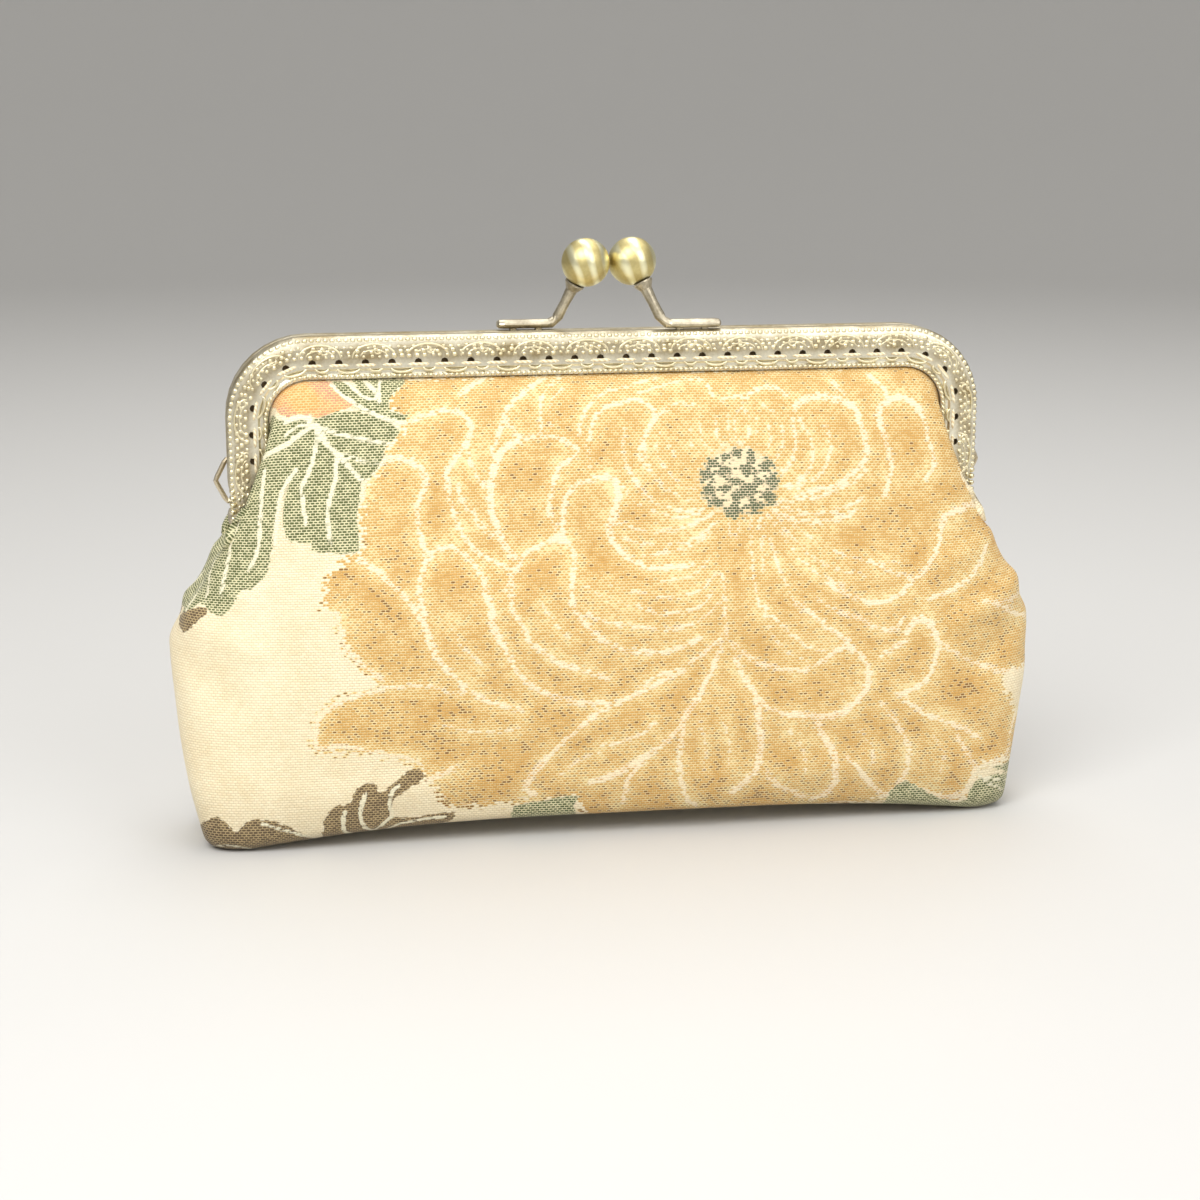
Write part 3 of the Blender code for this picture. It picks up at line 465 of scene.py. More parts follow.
# %% Outlines of the petals, in millimetres of cloth
BROAD, MIDDLE, THIN, FINE = 0.85, 0.62, 0.42, 0.26
PETAL_LINES = (
    (BROAD, ((-60.5, 84.5), (-59.5, 89), (-57, 92.5), (-52, 93.5), (-47.5, 92), (-45.5, 89),
        (-46, 85.5))),
    (MIDDLE, ((-46, 85.5), (-47.5, 82), (-47.5, 78.5), (-47, 75), (-46, 71))),
    (MIDDLE, ((-49.5, 101.5), (-44, 103.5), (-38.5, 104), (-35, 101.5), (-34.5, 98), (-37, 94.5))),
    (MIDDLE, ((-37, 94.5), (-40, 90.5), (-40.5, 86.5), (-39.5, 81.5), (-38, 76.5), (-34.5, 71.5),
        (-29.5, 68), (-26, 66))),
    (THIN, ((-35.5, 96), (-35, 92.5), (-33.5, 88.5), (-32, 85.5))),
    (MIDDLE, ((-38, 86.5), (-37, 82.5), (-35, 80.5), (-33, 77), (-30.5, 75))),
    (BROAD, ((-25.5, 69), (-28, 73), (-29.5, 77), (-30.5, 81), (-30.5, 85.5), (-29.5, 90),
        (-27.5, 94), (-24.5, 96))),
    (MIDDLE, ((-24.5, 96), (-20.5, 97), (-16, 97), (-12, 95.5), (-10, 93.5), (-11.5, 91.5), (-14, 90))),
    (MIDDLE, ((-14, 90), (-15.5, 87), (-16.5, 83.5), (-17, 80), (-16, 76.5), (-14.5, 73))),
    (MIDDLE, ((-16.5, 111.5), (-20, 109), (-23.5, 106), (-26, 103), (-27.5, 99.5), (-29, 96),
        (-29.5, 93))),
    (THIN, ((-26, 102), (-24.5, 99), (-23, 96))),
    (BROAD, ((-36, 108), (-34, 110), (-31, 112))),
    (THIN, ((-18, 97.5), (-18, 102), (-17.5, 106), (-15.5, 109), (-12.5, 111.5))),
    (FINE, ((-15.5, 99), (-16, 102), (-15, 105.5), (-12.5, 108.5))),
    (MIDDLE, ((-14, 72.5), (-14, 76.5), (-13.5, 80), (-12.5, 83.5), (-10, 85.5), (-7, 86.5),
        (-3.5, 87.5))),
    (BROAD, ((-3.5, 87), (-1.5, 86.5), (-0.5, 83), (-1.5, 79), (-3, 74.5), (-1, 70.5), (1.5, 68))),
    (MIDDLE, ((1.5, 68), (5, 66), (10, 65.5), (16.5, 66))),
    (MIDDLE, ((-24, 68.5), (-22, 70.5), (-18.5, 72), (-15.5, 73), (-13, 72), (-11.5, 69.5),
        (-12, 64.5), (-12.5, 60.5), (-12.5, 57.5))),
    (MIDDLE, ((-12.5, 57.5), (-10.5, 54.5), (-6.5, 50), (-3, 47.5), (2.5, 46), (8.5, 45.5),
        (13.5, 46.5), (18, 48.5))),
    (MIDDLE, ((-24, 68.5), (-26, 65), (-26.5, 61.5), (-26.5, 57.5), (-24.5, 53.5), (-22.5, 49.5),
        (-19, 46.5), (-14.5, 43.5), (-8.5, 41.5), (-4, 39.5))),
    (MIDDLE, ((-47.5, 60), (-47.5, 64.5), (-46, 69), (-44, 71.5), (-42, 72.5), (-39, 72),
        (-36.5, 70), (-35, 68), (-33, 65), (-32.5, 61.5))),
    (BROAD, ((-32.5, 61.5), (-31.5, 58), (-31, 53.5), (-29, 49))),
    (MIDDLE, ((-29, 49), (-27, 45.5), (-24.5, 41), (-20, 37.5), (-15.5, 35.5), (-9.5, 34), (-4.5, 34))),
    (BROAD, ((-47.5, 60), (-47, 56), (-46, 51.5), (-44.5, 47))),
    (MIDDLE, ((-44.5, 47), (-41, 42.5), (-37, 38.5), (-32.5, 35.5), (-28.5, 34), (-24.5, 33))),
    (BROAD, ((-60.5, 70.5), (-57, 67.5), (-54, 64.5))),
    (MIDDLE, ((-54, 64.5), (-51, 61), (-49, 58), (-47.5, 55.5))),
    (THIN, ((-66.5, 58), (-66, 54), (-65.5, 50.5), (-63, 47), (-60, 44.5), (-56.5, 41.5))),
    (MIDDLE, ((-72, 26), (-72.5, 29), (-71.5, 33), (-68.5, 35.5), (-65, 37.5))),
    (THIN, ((-65, 37.5), (-60.5, 38.5), (-56, 39.5), (-52.5, 40), (-47, 40), (-42.5, 38.5),
        (-38.5, 37.5))),
    (THIN, ((-72, 25.5), (-66.5, 26), (-61.5, 25), (-56.5, 23.5), (-51.5, 22.5), (-47.5, 20.5))),
    (MIDDLE, ((-46.5, 16.5), (-43.5, 18), (-40, 19.5))),
    (MIDDLE, ((14, 40.5), (9.5, 39), (6, 37), (0, 34.5), (-5, 32.5), (-8.5, 30), (-12, 27),
        (-15.5, 24), (-18.5, 20.5))),
    (BROAD, ((-18.5, 20.5), (-22, 16.5), (-23.5, 13.5), (-21.5, 11.5))),
    (MIDDLE, ((23, 46), (21, 41), (19, 37), (17.5, 34))),
    (BROAD, ((17.5, 34), (15, 30.5), (13.5, 27.5))),
    (MIDDLE, ((13.5, 27.5), (10.5, 24), (6, 20.5), (3, 17), (1, 13.5), (0, 8.5))),
    (BROAD, ((-7.5, 14), (-3, 15.5), (2, 18), (5, 20))),
    (MIDDLE, ((14, 27.5), (13.5, 22.5), (13.5, 17), (14, 12.5), (15.5, 8.5), (17.5, 6.5))),
    (BROAD, ((32, 33), (32.5, 27.5), (33, 21.5), (32.5, 16), (30, 12.5), (26.5, 9.5))),
    (MIDDLE, ((26.5, 43.5), (29, 38), (32, 33.5), (35.5, 30.5), (40, 28.5))),
    (BROAD, ((40, 29), (46.5, 28), (52, 28), (56.5, 31), (59, 34.5), (59.5, 38))),
    (MIDDLE, ((59.5, 38), (58.5, 41.5), (56, 43.5), (54, 45), (51.5, 44), (48, 41.5), (43, 39.5),
        (38.5, 40), (33, 41.5), (29, 44), (26, 46.5))),
    (BROAD, ((47, 26), (49, 22), (51.5, 18), (52, 14), (52, 10), (50, 7.5))),
    (MIDDLE, ((50, 7.5), (46, 6.5), (41, 9), (37, 11.5), (34.5, 14.5))),
    (MIDDLE, ((63, 30), (66, 26.5), (68.5, 22.5), (70.5, 18.5), (70.5, 14), (69, 9.5), (66, 6.5))),
    (MIDDLE, ((54.5, 17), (57.5, 14), (60, 11), (62.5, 8), (65.5, 6))),
    (MIDDLE, ((69, 30.5), (73, 27.5), (78, 25), (84, 22.5), (89.5, 19))),
    (MIDDLE, ((83, 20.5), (86, 16), (88.5, 12))),
    (BROAD, ((89, 11.5), (87, 6.5), (83.5, 4.5), (78, 5), (73, 7.5), (70, 9))),
    (MIDDLE, ((77.5, 42.5), (76, 38), (74, 35), (70.5, 33), (67, 32))),
    (BROAD, ((69, 47), (70.5, 49.5), (73, 50.5), (75.5, 48.5), (77, 45))),
    (MIDDLE, ((62.5, 42), (65.5, 43.5), (69, 45.5))),
    (THIN, ((78, 44), (82, 41.5), (86, 39), (90, 37.5))),
    (MIDDLE, ((90, 37.5), (95, 35.5), (109.5, 33))),
    (MIDDLE, ((99, 35), (104, 27.5), (100.5, 20.5), (99.5, 14), (92, 12))),
    (BROAD, ((100, 81.5), (81.5, 77), (79, 74.5))),
    (MIDDLE, ((79, 74.5), (78, 70.5), (76.5, 66.5), (74, 63), (70.5, 60), (67.5, 57), (62, 55),
        (56.5, 56.5), (52.5, 58.5), (49, 60.5))),
    (MIDDLE, ((91.5, 68), (89.5, 64), (86, 60), (80.5, 57), (74.5, 55))),
    (MIDDLE, ((106.5, 54), (100, 53), (95.5, 52.5), (89.5, 53.5))),
    (MIDDLE, ((92, 52.5), (97, 50.5), (108, 46.5))),
    (MIDDLE, ((54.5, 52.5), (58.5, 50.5), (62.5, 48.5), (66.5, 48.5), (68, 51))),
    (BROAD, ((43, 103), (45.5, 105), (49.5, 105.5), (53.5, 104.5), (57, 103), (58.5, 99.5),
        (59.5, 96))),
    (MIDDLE, ((59.5, 96), (60, 92.5), (58.5, 89), (55.5, 86.5), (52, 84), (47.5, 83), (42.5, 82))),
    (THIN, ((43, 101.5), (44.5, 98.5), (46, 95), (46.5, 91.5), (45.5, 88), (43, 85.5), (39.5, 84))),
    (THIN, ((50, 98.5), (51, 94), (50, 89.5), (48, 86.5), (44.5, 84.5), (40.5, 83.5))),
    (BROAD, ((64.5, 96), (63.5, 99.5), (63.5, 102.5), (66.5, 104.5), (69.5, 105), (72.5, 103.5),
        (74.5, 100.5))),
    (MIDDLE, ((74.5, 100.5), (75.5, 96), (76.5, 92), (77, 88.5), (75, 85.5))),
    (MIDDLE, ((64.5, 96), (65.5, 92), (66, 88.5), (65, 84.5), (64, 81))),
    (MIDDLE, ((52.5, 109.5), (53.5, 107.5), (55.5, 105.5))),
    (MIDDLE, ((61.5, 111), (64, 108.5), (66, 105.5))),
    (THIN, ((-7, 89), (-7.5, 93.5), (-6.5, 98), (-5, 101.5), (-1.5, 104))),
    (MIDDLE, ((-1.5, 104), (3.5, 105), (7, 104), (9, 101.5), (7.5, 98), (5.5, 95), (5, 91.5),
        (7, 88.5))),
    (THIN, ((-9.5, 97), (-8, 101.5), (-5, 105.5), (-1, 107.5), (5, 109), (10, 111))),
    (THIN, ((5.5, 106.5), (11, 108.5), (16.5, 110), (21.5, 109.5), (23, 105.5))),
    (THIN, ((9, 100.5), (12.5, 103), (16.5, 104), (20, 102.5))),
    (FINE, ((10, 97.5), (9, 94), (10, 90), (12.5, 86.5), (16, 84), (20, 83.5))),
    (FINE, ((6, 95), (6.5, 90.5), (8.5, 86.5), (11.5, 83.5), (16, 81.5), (20, 81))),
    (THIN, ((1.5, 98), (1, 92), (3, 87), (6, 82.5), (10.5, 79.5), (16.5, 78.5), (19.5, 79))),
    (FINE, ((0, 86), (3, 81.5), (8, 78.5), (13, 77), (18.5, 78))),
    (THIN, ((-1, 76.5), (4.5, 74.5), (10, 74), (16, 75), (22, 78))),
    (FINE, ((0, 73), (5.5, 71), (11.5, 71), (17.5, 72), (22.5, 76))),
    (FINE, ((5, 68.5), (10.5, 69), (16, 70), (21, 73))),
    (FINE, ((11.5, 95), (13, 92), (16.5, 89), (20.5, 87.5))),
    (FINE, ((17, 97.5), (17.5, 94), (20.5, 91))),
    (FINE, ((19.5, 100), (20, 95.5), (22.5, 92))),
    (FINE, ((23.5, 100.5), (23.5, 96.5), (25, 93))),
    (FINE, ((26.5, 101), (26.5, 97), (27, 93.5))),
    (FINE, ((30, 103), (28, 100), (28, 96), (29.5, 94), (31, 96), (31.5, 100), (30, 103))),
    (FINE, ((33, 100.5), (33, 96.5), (32, 93))),
    (FINE, ((35, 103.5), (38, 101), (39.5, 97), (39, 93), (37, 89.5), (35.5, 88))),
    (THIN, ((41.5, 101), (42.5, 96), (42, 91.5), (39.5, 88), (36, 86))),
    (FINE, ((36, 98.5), (36.5, 95), (34.5, 91.5))),
    (MIDDLE, ((31, 105.5), (34.5, 107.5), (38.5, 107.5), (41, 106))),
    (THIN, ((24.5, 104), (27.5, 105.5), (31, 105))),
    (THIN, ((59.5, 87.5), (54.5, 84), (48, 81.5), (41, 80.5), (37.5, 81))),
    (THIN, ((58.5, 81), (53, 78.5), (46.5, 77.5), (40.5, 78.5), (37.5, 80))),
    (MIDDLE, ((56.5, 77.5), (52, 76), (46.5, 75.5), (40.5, 76.5), (36.5, 78.5))),
    (FINE, ((25.5, 76.5), (26, 72.5))),
    (FINE, ((28, 76), (27.5, 72))),
    (FINE, ((31, 76.5), (31, 70), (31, 63.5), (32, 57), (34, 52), (36.5, 47), (40, 43.5), (44, 41.5))),
    (FINE, ((32.5, 76.5), (33.5, 70), (33.5, 64))),
    (FINE, ((33.5, 76.5), (36, 70), (37.5, 64), (40, 58.5), (42, 53.5))),
    (FINE, ((35, 77.5), (39, 71.5), (42.5, 67), (47.5, 62.5), (53.5, 60))),
    (FINE, ((37, 76.5), (41.5, 71.5), (46, 67), (52.5, 63.5), (60.5, 62))),
    (FINE, ((38, 77.5), (43, 73.5), (49, 69.5), (57.5, 66), (67.5, 65))),
    (THIN, ((23.5, 63.5), (24, 57.5), (24, 51.5), (24.5, 47.5))),
    (THIN, ((21, 59.5), (18, 56), (13, 55), (7.5, 55), (2.5, 57.5))),
    (THIN, ((22.5, 56.5), (18, 53), (12, 51), (6, 51.5), (-1, 52.5), (-6, 54), (-9, 56))),
    (FINE, ((22, 63.5), (18, 60), (13, 58.5), (7, 59), (2, 60.5), (-3.5, 62.5))),
    (FINE, ((21, 68), (18, 64.5), (14.5, 63), (8.5, 62.5))),
    (THIN, ((23, 48.5), (18.5, 44.5), (13, 41.5), (8, 40), (3.5, 37.5))),
    (THIN, ((33.5, 55.5), (37.5, 51), (42, 47), (46, 44.5), (50, 43.5))),
    (MIDDLE, ((42, 56), (46, 52.5), (50.5, 48.5), (54.5, 46))),
    (THIN, ((46, 57), (51.5, 53.5), (57.5, 51.5))),
    (FINE, ((-9, 62), (-5, 59), (1, 57))),
    (THIN, ((-29, 68.5), (-26.5, 65.5), (-28, 61.5))),
    (THIN, ((59.5, 66), (65, 63), (70.5, 61))),
    (THIN, ((-6, 23.5), (-1, 24), (3.5, 25.5), (7, 28.5))),
    (FINE, ((18, 28.5), (19.5, 22), (19.5, 15.5))),
    (FINE, ((24, 28), (25.5, 21.5), (25, 15))),
    (FINE, ((40, 25), (43.5, 20), (44.5, 14))),
    (FINE, ((58, 23.5), (61, 19), (61.5, 14.5))),
    (FINE, ((77, 21), (80, 15.5), (79, 10.5))),
    (FINE, ((-15.5, 16), (-10.5, 20), (-6, 21.5))),
    (FINE, ((-43.5, 30.5), (-34.5, 28), (-25, 28.5))),
    (FINE, ((-41, 55.5), (-38.5, 49.5), (-34, 44.5))),
    (FINE, ((-20, 59), (-17, 54), (-13, 49.5))),
)

# %% Veins and shapes of the leaves, the bud and the flower's edge
LEAF_VEINS = (
    (0.5, ((-69.5, 102), (-65.5, 100), (-60, 98.5), (-54, 97))),
    (0.6, ((-69.5, 101), (-67, 97), (-63.5, 93), (-60, 89))),
    (0.4, ((-65.5, 95), (-62.5, 94.5), (-59, 93), (-55, 92.5))),
    (0.5, ((-65.5, 94), (-66, 89), (-67.5, 84.5), (-68, 80), (-67.5, 74.5))),
    (0.5, ((-69.5, 101), (-70, 97), (-71.5, 92), (-73.5, 88), (-73.5, 84.5), (-73, 79.5))),
    (0.6, ((-70, 102), (-73.5, 100), (-77.5, 97.5), (-84, 95.5))),
    (0.5, ((-74.5, 92), (-77, 89), (-78.5, 86), (-79.5, 80.5), (-80, 75))),
    (0.5, ((-82.5, 92.5), (-83, 87), (-83.5, 81), (-84, 75), (-85, 72), (-86.5, 69))),
    (0.5, ((-89, 84), (-90.5, 79), (-91.5, 74), (-92.5, 68), (-93, 65), (-93.5, 62))),
    (0.4, ((-97.5, 72), (-97.5, 67), (-97.5, 64), (-98, 61))),
    (0.4, ((-103, 66), (-103, 60.5), (-104, 57))),
    (0.5, ((-66, 112), (-63, 108.5), (-59, 105.5), (-54.5, 103), (-50, 101.5))),
    (0.5, ((-63, 113.5), (-61, 110.5), (-59, 108.5), (-57, 107.5))),
    (0.5, ((-58, 112.5), (-56.5, 110), (-55, 107))),
    (0.4, ((-54.5, 113), (-55, 110), (-55, 106.5))),
    (0.4, ((-77, 100), (-74.5, 101.5), (-71, 103))),
    (0.6, ((-77, 103), (-74, 104), (-71, 104))),
    (0.5, ((-81, 109), (-79, 106), (-76.5, 103.5))),
    (0.5, ((-61, 14), (-62, 11.5), (-62.5, 8), (-61, 4), (-58.5, 1.5))),
    (0.5, ((-66, 9.5), (-66.5, 7), (-66, 3.5), (-64, 0.5))),
    (0.5, ((-53.5, 15.5), (-55, 14), (-55.5, 11), (-55, 8))),
    (0.4, ((-60, 1.5), (-57.5, 5), (-55, 7.5))),
    (0.4, ((-103.5, 4), (-105, -1), (-94.5, 1.5), (-91, 1), (-85.5, -2))),
    (0.4, ((-85.5, 7.5), (-81.5, 6), (-76.5, 4), (-71.5, 0))),
    (0.4, ((-57.5, 0), (-54, 4.5), (-48.5, 6), (-42.5, 6.5))),
    (0.4, ((90, 9), (106.5, 5), (102.5, 8))),
    (0.4, ((91.5, 7.5), (101.5, 2), (98.5, -0.5))),
)
FLOWER_SHAPES = (
    ((-50.5, 112.5), (-22.5, 113.5), (20.5, 113.5), (69.5, 114), (85.5, 114), (91, 87.5),
        (99, 74.5), (111, 50.5), (109, 36), (98.5, 35.5), (96, 30.5), (110.5, 16.5), (108.5, 11),
        (90, 12), (87, 4.5), (79.5, 3), (70, 6.5), (64, 4.5), (45, 2.5), (20.5, 2.5), (5.5, 2.5),
        (-8.5, 3.5), (-11.5, 9.5), (-25, 9.5), (-41.5, 9.5), (-44, 14), (-46.5, 17), (-52, 22),
        (-57.5, 23.5), (-66, 24.5), (-72, 25), (-73, 30), (-71.5, 33.5), (-68, 37), (-61, 39),
        (-56.5, 40), (-60.5, 43.5), (-65, 49.5), (-66, 53), (-67, 57.5), (-70, 59.5), (-68, 67.5),
        (-64.5, 70.5), (-60.5, 73), (-60.5, 79.5), (-60, 88), (-57.5, 89.5), (-54, 95), (-51.5, 98),
        (-50, 101), (-52.5, 104.5), (-53, 107)),
)
GREEN_SHAPES = (
    ((-84.5, 102), (-82.5, 103.5), (-75.5, 103.5), (-69.5, 103.5), (-65, 105), (-59.5, 104.5),
        (-55.5, 103), (-51, 100.5), (-52, 98), (-54, 97), (-55, 93.5), (-56, 91.5), (-58, 89.5),
        (-60, 88.5), (-60.5, 84.5), (-61.5, 80), (-61, 72.5), (-66.5, 72.5), (-71.5, 73), (-72, 75),
        (-76.5, 75.5), (-78, 78.5), (-78, 84), (-76.5, 88.5), (-78.5, 85), (-80, 80.5), (-81, 74),
        (-82, 69.5), (-83.5, 66.5), (-86.5, 64), (-89, 63.5), (-90, 61), (-92, 58), (-94.5, 57),
        (-97, 58.5), (-99.5, 60), (-103, 57), (-108.5, 56), (-115, 59), (-115, 66),
        (-113, 74), (-111, 82), (-105, 90), (-97, 98), (-90, 101)),
    ((-66, 113), (-62.5, 112.5), (-60.5, 109.5), (-55.5, 106.5), (-52.5, 104.5), (-49, 103.5),
        (-49.5, 102), (-53.5, 102.5), (-58.5, 104.5), (-62, 107.5), (-64.5, 110)),
    ((-61, 113.5), (-49, 113), (-50.5, 110), (-53, 107.5), (-53, 104.5), (-56, 106), (-59, 108.5),
        (-60, 111)),
    ((-83.5, 106.5), (-80, 104.5), (-78, 102), (-82.5, 95), (-92, 95), (-97, 99), (-95, 104)),
    ((-26.5, 8.5), (-20, 9.5), (-14.5, 10.5), (-10.5, 10.5), (-12, 7.5), (-11, 3.5), (-19, 2),
        (-26, 2.5)),
    ((66, 5.5), (67.5, 8.5), (71, 9.5), (74, 7.5), (78, 5), (83.5, 2.5), (87, 3.5), (89.5, 8.5),
        (102, 7.5), (101.5, -2), (68, -1.5)),
    ((110, 15), (105.5, 16.5), (102.5, 7.5), (102.5, 8), (91, 12), (99.5, 11)),
)
BROWN_SHAPES = (
    ((-111.5, 55), (-103, 57.5), (-99, 59), (-97, 58), (-99, 55.5), (-102, 53), (-104.5, 52)),
    ((-71, 7.5), (-69.5, 10), (-67, 11.5), (-66, 11), (-64.5, 12.5), (-63, 15.5), (-61, 16.5),
        (-59, 16.5), (-58, 14), (-56, 15), (-53.5, 17), (-51.5, 19), (-49.5, 19.5), (-47.5, 18.5),
        (-47.5, 17), (-50.5, 15), (-53, 13.5), (-54.5, 12), (-55.5, 8), (-54.5, 7), (-48.5, 7),
        (-44, 7.5), (-40, 7.5), (-42.5, 3.5), (-53, 1.5), (-69, -0.5), (-71.5, 0.5)),
    ((-105, 4.5), (-98.5, 8), (-96, 9), (-93.5, 7.5), (-91.5, 5.5), (-89, 8), (-85.5, 8.5),
        (-81.5, 7.5), (-77, 5), (-72.5, 0), (-76.5, -2), (-85.5, -3.5), (-94.5, -5.5), (-100.5, -4),
        (-103.5, 0.5)),
)
BUD_SHAPES = (
    ((-82, 108.5), (-79, 111), (-75, 112.5), (-70.5, 113), (-66, 113), (-63, 108.5), (-60, 106.5),
        (-64.5, 105), (-69.5, 103.5), (-73.5, 104.5), (-76, 103.5), (-79, 105.5)),
)
DASH_PATCHES = (
    (20.5, 87, 1.7, 1.5),
    (22, 90, 1.5, 1.2),
    (25, 91, 1.2, 1.2),
    (28, 92, 1.5, 1.2),
    (31.5, 91, 1.2, 1.5),
    (35, 89, 1.7, 1.5),
    (36.5, 85.5, 1.7, 1.5),
    (35.5, 81.5, 2.0, 1.5),
    (32, 79.5, 2.2, 1.8),
    (27, 78.5, 2.5, 1.8),
    (23, 80.5, 2.0, 1.2),
    (21, 83.5, 2.0, 1.8),
    (25, 88, 2.0, 1.2),
    (30.5, 88, 2.0, 1.5),
    (27.5, 85.5, 2.0, 1.0),
    (33, 85, 1.7, 1.0),
    (25, 84, 1.7, 1.2),
    (30.5, 83, 2.5, 1.5),
    (27.5, 81.5, 1.5, 1.0),
)


# %% Distances from the outlines
FAR = 4.0
DISC_HALVES = (9.4, 8.2)


def curve_through(points, steps=4):
    """A rounded line through the points of a table."""
    p = np.array(points, float)
    p = np.concatenate([[2 * p[0] - p[1]], p, [2 * p[-1] - p[-2]]])
    made = []
    for a, b, c, d in zip(p, p[1:], p[2:], p[3:]):
        for t in np.arange(steps) / steps:
            made.append(0.5 * (2 * b + (c - a) * t + (2 * a - 5 * b + 4 * c - d) * t ** 2
                               + (3 * b - a - 3 * c + d) * t ** 3))
    return np.array(made + [p[-2]])


def line_gap(places, line, reach=FAR):
    """Distance from each place to a line, at most the reach."""
    gap = np.full(len(places), reach)
    near = np.flatnonzero(((places > line.min(0) - reach) & (places < line.max(0) + reach)).all(1))
    for a, b in zip(line, line[1:]):
        run = b - a
        share = np.clip((places[near] - a) @ run / max(run @ run, 1e-9), 0, 1)
        gap[near] = np.minimum(gap[near], np.hypot(*(places[near] - a - share[:, None] * run).T))
    return gap


def shape_gap(places, shape, reach=6.0):
    """Distance to a closed outline, negative inside it."""
    ring = curve_through(list(shape) + [shape[0]], 2)
    gap = line_gap(places, ring, reach)
    inside = np.zeros(len(places), bool)
    for (ax, ay), (bx, by) in zip(ring, ring[1:]):
        if ay != by:
            crosses = (places[:, 1] > min(ay, by)) & (places[:, 1] <= max(ay, by))
            inside ^= crosses & (places[:, 0] < ax + (places[:, 1] - ay) * (bx - ax) / (by - ay))
    return np.where(inside, -gap, gap)


def woven_gaps(places):
    """All the distances that the cloth's material reads, by name."""
    gaps = {name: np.full(len(places), FAR) for name in ("petal_line", "leaf_vein")}
    for width, line in PETAL_LINES:
        gap = line_gap(places, curve_through(line)) - width
        gaps["petal_line"] = np.minimum(gaps["petal_line"], gap)
    for width, line in LEAF_VEINS:
        gaps["leaf_vein"] = np.minimum(gaps["leaf_vein"], line_gap(places, curve_through(line)) - width)
    shapes = (("flower", FLOWER_SHAPES), ("green_leaf", GREEN_SHAPES), ("brown_leaf", BROWN_SHAPES),
              ("bud", BUD_SHAPES))
    for name, outlines in shapes:
        gaps[name] = np.min([shape_gap(places, outline) for outline in outlines], axis=0)
    dashes = [np.hypot((places[:, 0] - u) / wide, (places[:, 1] - v) / high) - 1
              for u, v, wide, high in DASH_PATCHES]
    gaps["dash"] = np.minimum(np.min(dashes, axis=0), FAR)
    middle = np.mean([patch[:2] for patch in DASH_PATCHES], axis=0)
    gaps["disc"] = np.minimum(np.hypot(*((places - middle) / DISC_HALVES).T) - 1, FAR)
    return gaps


def carry_pattern(panel, places):
    """Store the distances on the panel's points."""
    for name, gap in woven_gaps(places).items():
        layer = panel.data.attributes.new(name, "FLOAT", "POINT")
        layer.data.foreach_set("value", gap.astype(np.float32))
    rows, count = fine.shape[1], 2 * fine.shape[0] - 1
    tucked = np.zeros(len(places))
    tucked[:rows * count] = np.tile(np.arange(rows) < lip_row, count)
    layer = panel.data.attributes.new("tucked", "FLOAT", "POINT")
    layer.data.foreach_set("value", tucked.astype(np.float32))
    print(panel.name, "carries", len(panel.data.attributes), "layers")


# Both panels carry the same motif at the same place, so it runs on across the side seams
carry_pattern(front_panel, panel_arrays(-1)[2])
carry_pattern(back_panel, panel_arrays(1)[2])

# %% [markdown]
# ### Soft creases
#
# Real cloth isn't as even as a rule. It puckers a little where it is stitched into the frame,
# creases run in from the sides below the hinges, and the walls undulate slowly. A cloth
# simulation could find such folds, but the photograph shows where they are, so each point is
# moved along its normal by a short table of creases instead.

# %% Creases: ends in cloth millimetres, height, width
CREASES = (
    ((108, 60), (84, 49), 0.95, 3.2),
    ((108, 52), (88, 38), -0.80, 3.6),
    ((103, 74), (82, 66), 0.60, 3.4),
    ((107, 34), (90, 26), 0.45, 4.5),
    ((-106, 58), (-86, 48), 0.75, 3.6),
    ((-107, 49), (-90, 36), -0.65, 4.0),
    ((-104, 72), (-90, 62), 0.50, 3.2),
    ((-66, 12), (-28, 17), 0.35, 5.0),
    ((18, 10), (62, 15), 0.40, 5.0),
    ((-20, 62), (24, 58), 0.30, 9.0),
)


def crease(panel, places):
    """Move the panel's points along their normals by the creases."""
    rows, count = fine.shape[1], 2 * fine.shape[0] - 1
    row, column = np.tile(np.arange(rows), count), np.repeat(np.arange(count), rows)
    ease_in = np.clip((row - slit_row) / 25, 0, 1) * np.clip((rows - 1 - row) / 12, 0, 1)
    ease_in *= np.clip(np.minimum(column, count - 1 - column) / 10, 0, 1)
    u, v = places[:rows * count].T
    # Slow waves over the whole wall, then puckers 11 mm apart that fade away below the frame
    push = 0.50 * np.sin(u / 23 + 0.7) * np.sin(v / 19 + 1.1)
    push += 0.26 * np.cos(2 * math.pi * u / 11 + 1.3 * np.sin(u / 17)) * np.exp(-np.abs(106 - v) / 9)
    for start, end, height, width in CREASES:
        gap = line_gap(places[:rows * count], np.array([start, end], float), 3 * width)
        push += height * np.exp(-(gap / width) ** 2)
    spots, normals = (np.zeros(3 * len(panel.data.vertices)) for _ in range(2))
    panel.data.vertices.foreach_get("co", spots)
    panel.data.vertices.foreach_get("normal", normals)
    spots, normals = spots.reshape(-1, 3), normals.reshape(-1, 3)
    spots[:rows * count] += normals[:rows * count] * (push * ease_in)[:, None] * MM
    panel.data.vertices.foreach_set("co", spots.ravel())
    panel.data.update()
    print(panel.name, "creased by up to", round(float(np.abs(push * ease_in).max()), 2), "mm")


crease(front_panel, panel_arrays(-1)[2])
crease(back_panel, panel_arrays(1)[2] * np.array([-1, 1]))

# %% [markdown]
# ## Helpers for node trees
#
# A material or a Geometry Nodes tree is a list of nodes and links. These helpers add a node, feed
# its sockets with numbers or links, and build a group with named inputs and outputs.


# %% Short ways to build nodes
def feed(tree, socket, value):
    if isinstance(value, bpy.types.NodeSocket):
        tree.links.new(value, socket)
    else:
        socket.default_value = value


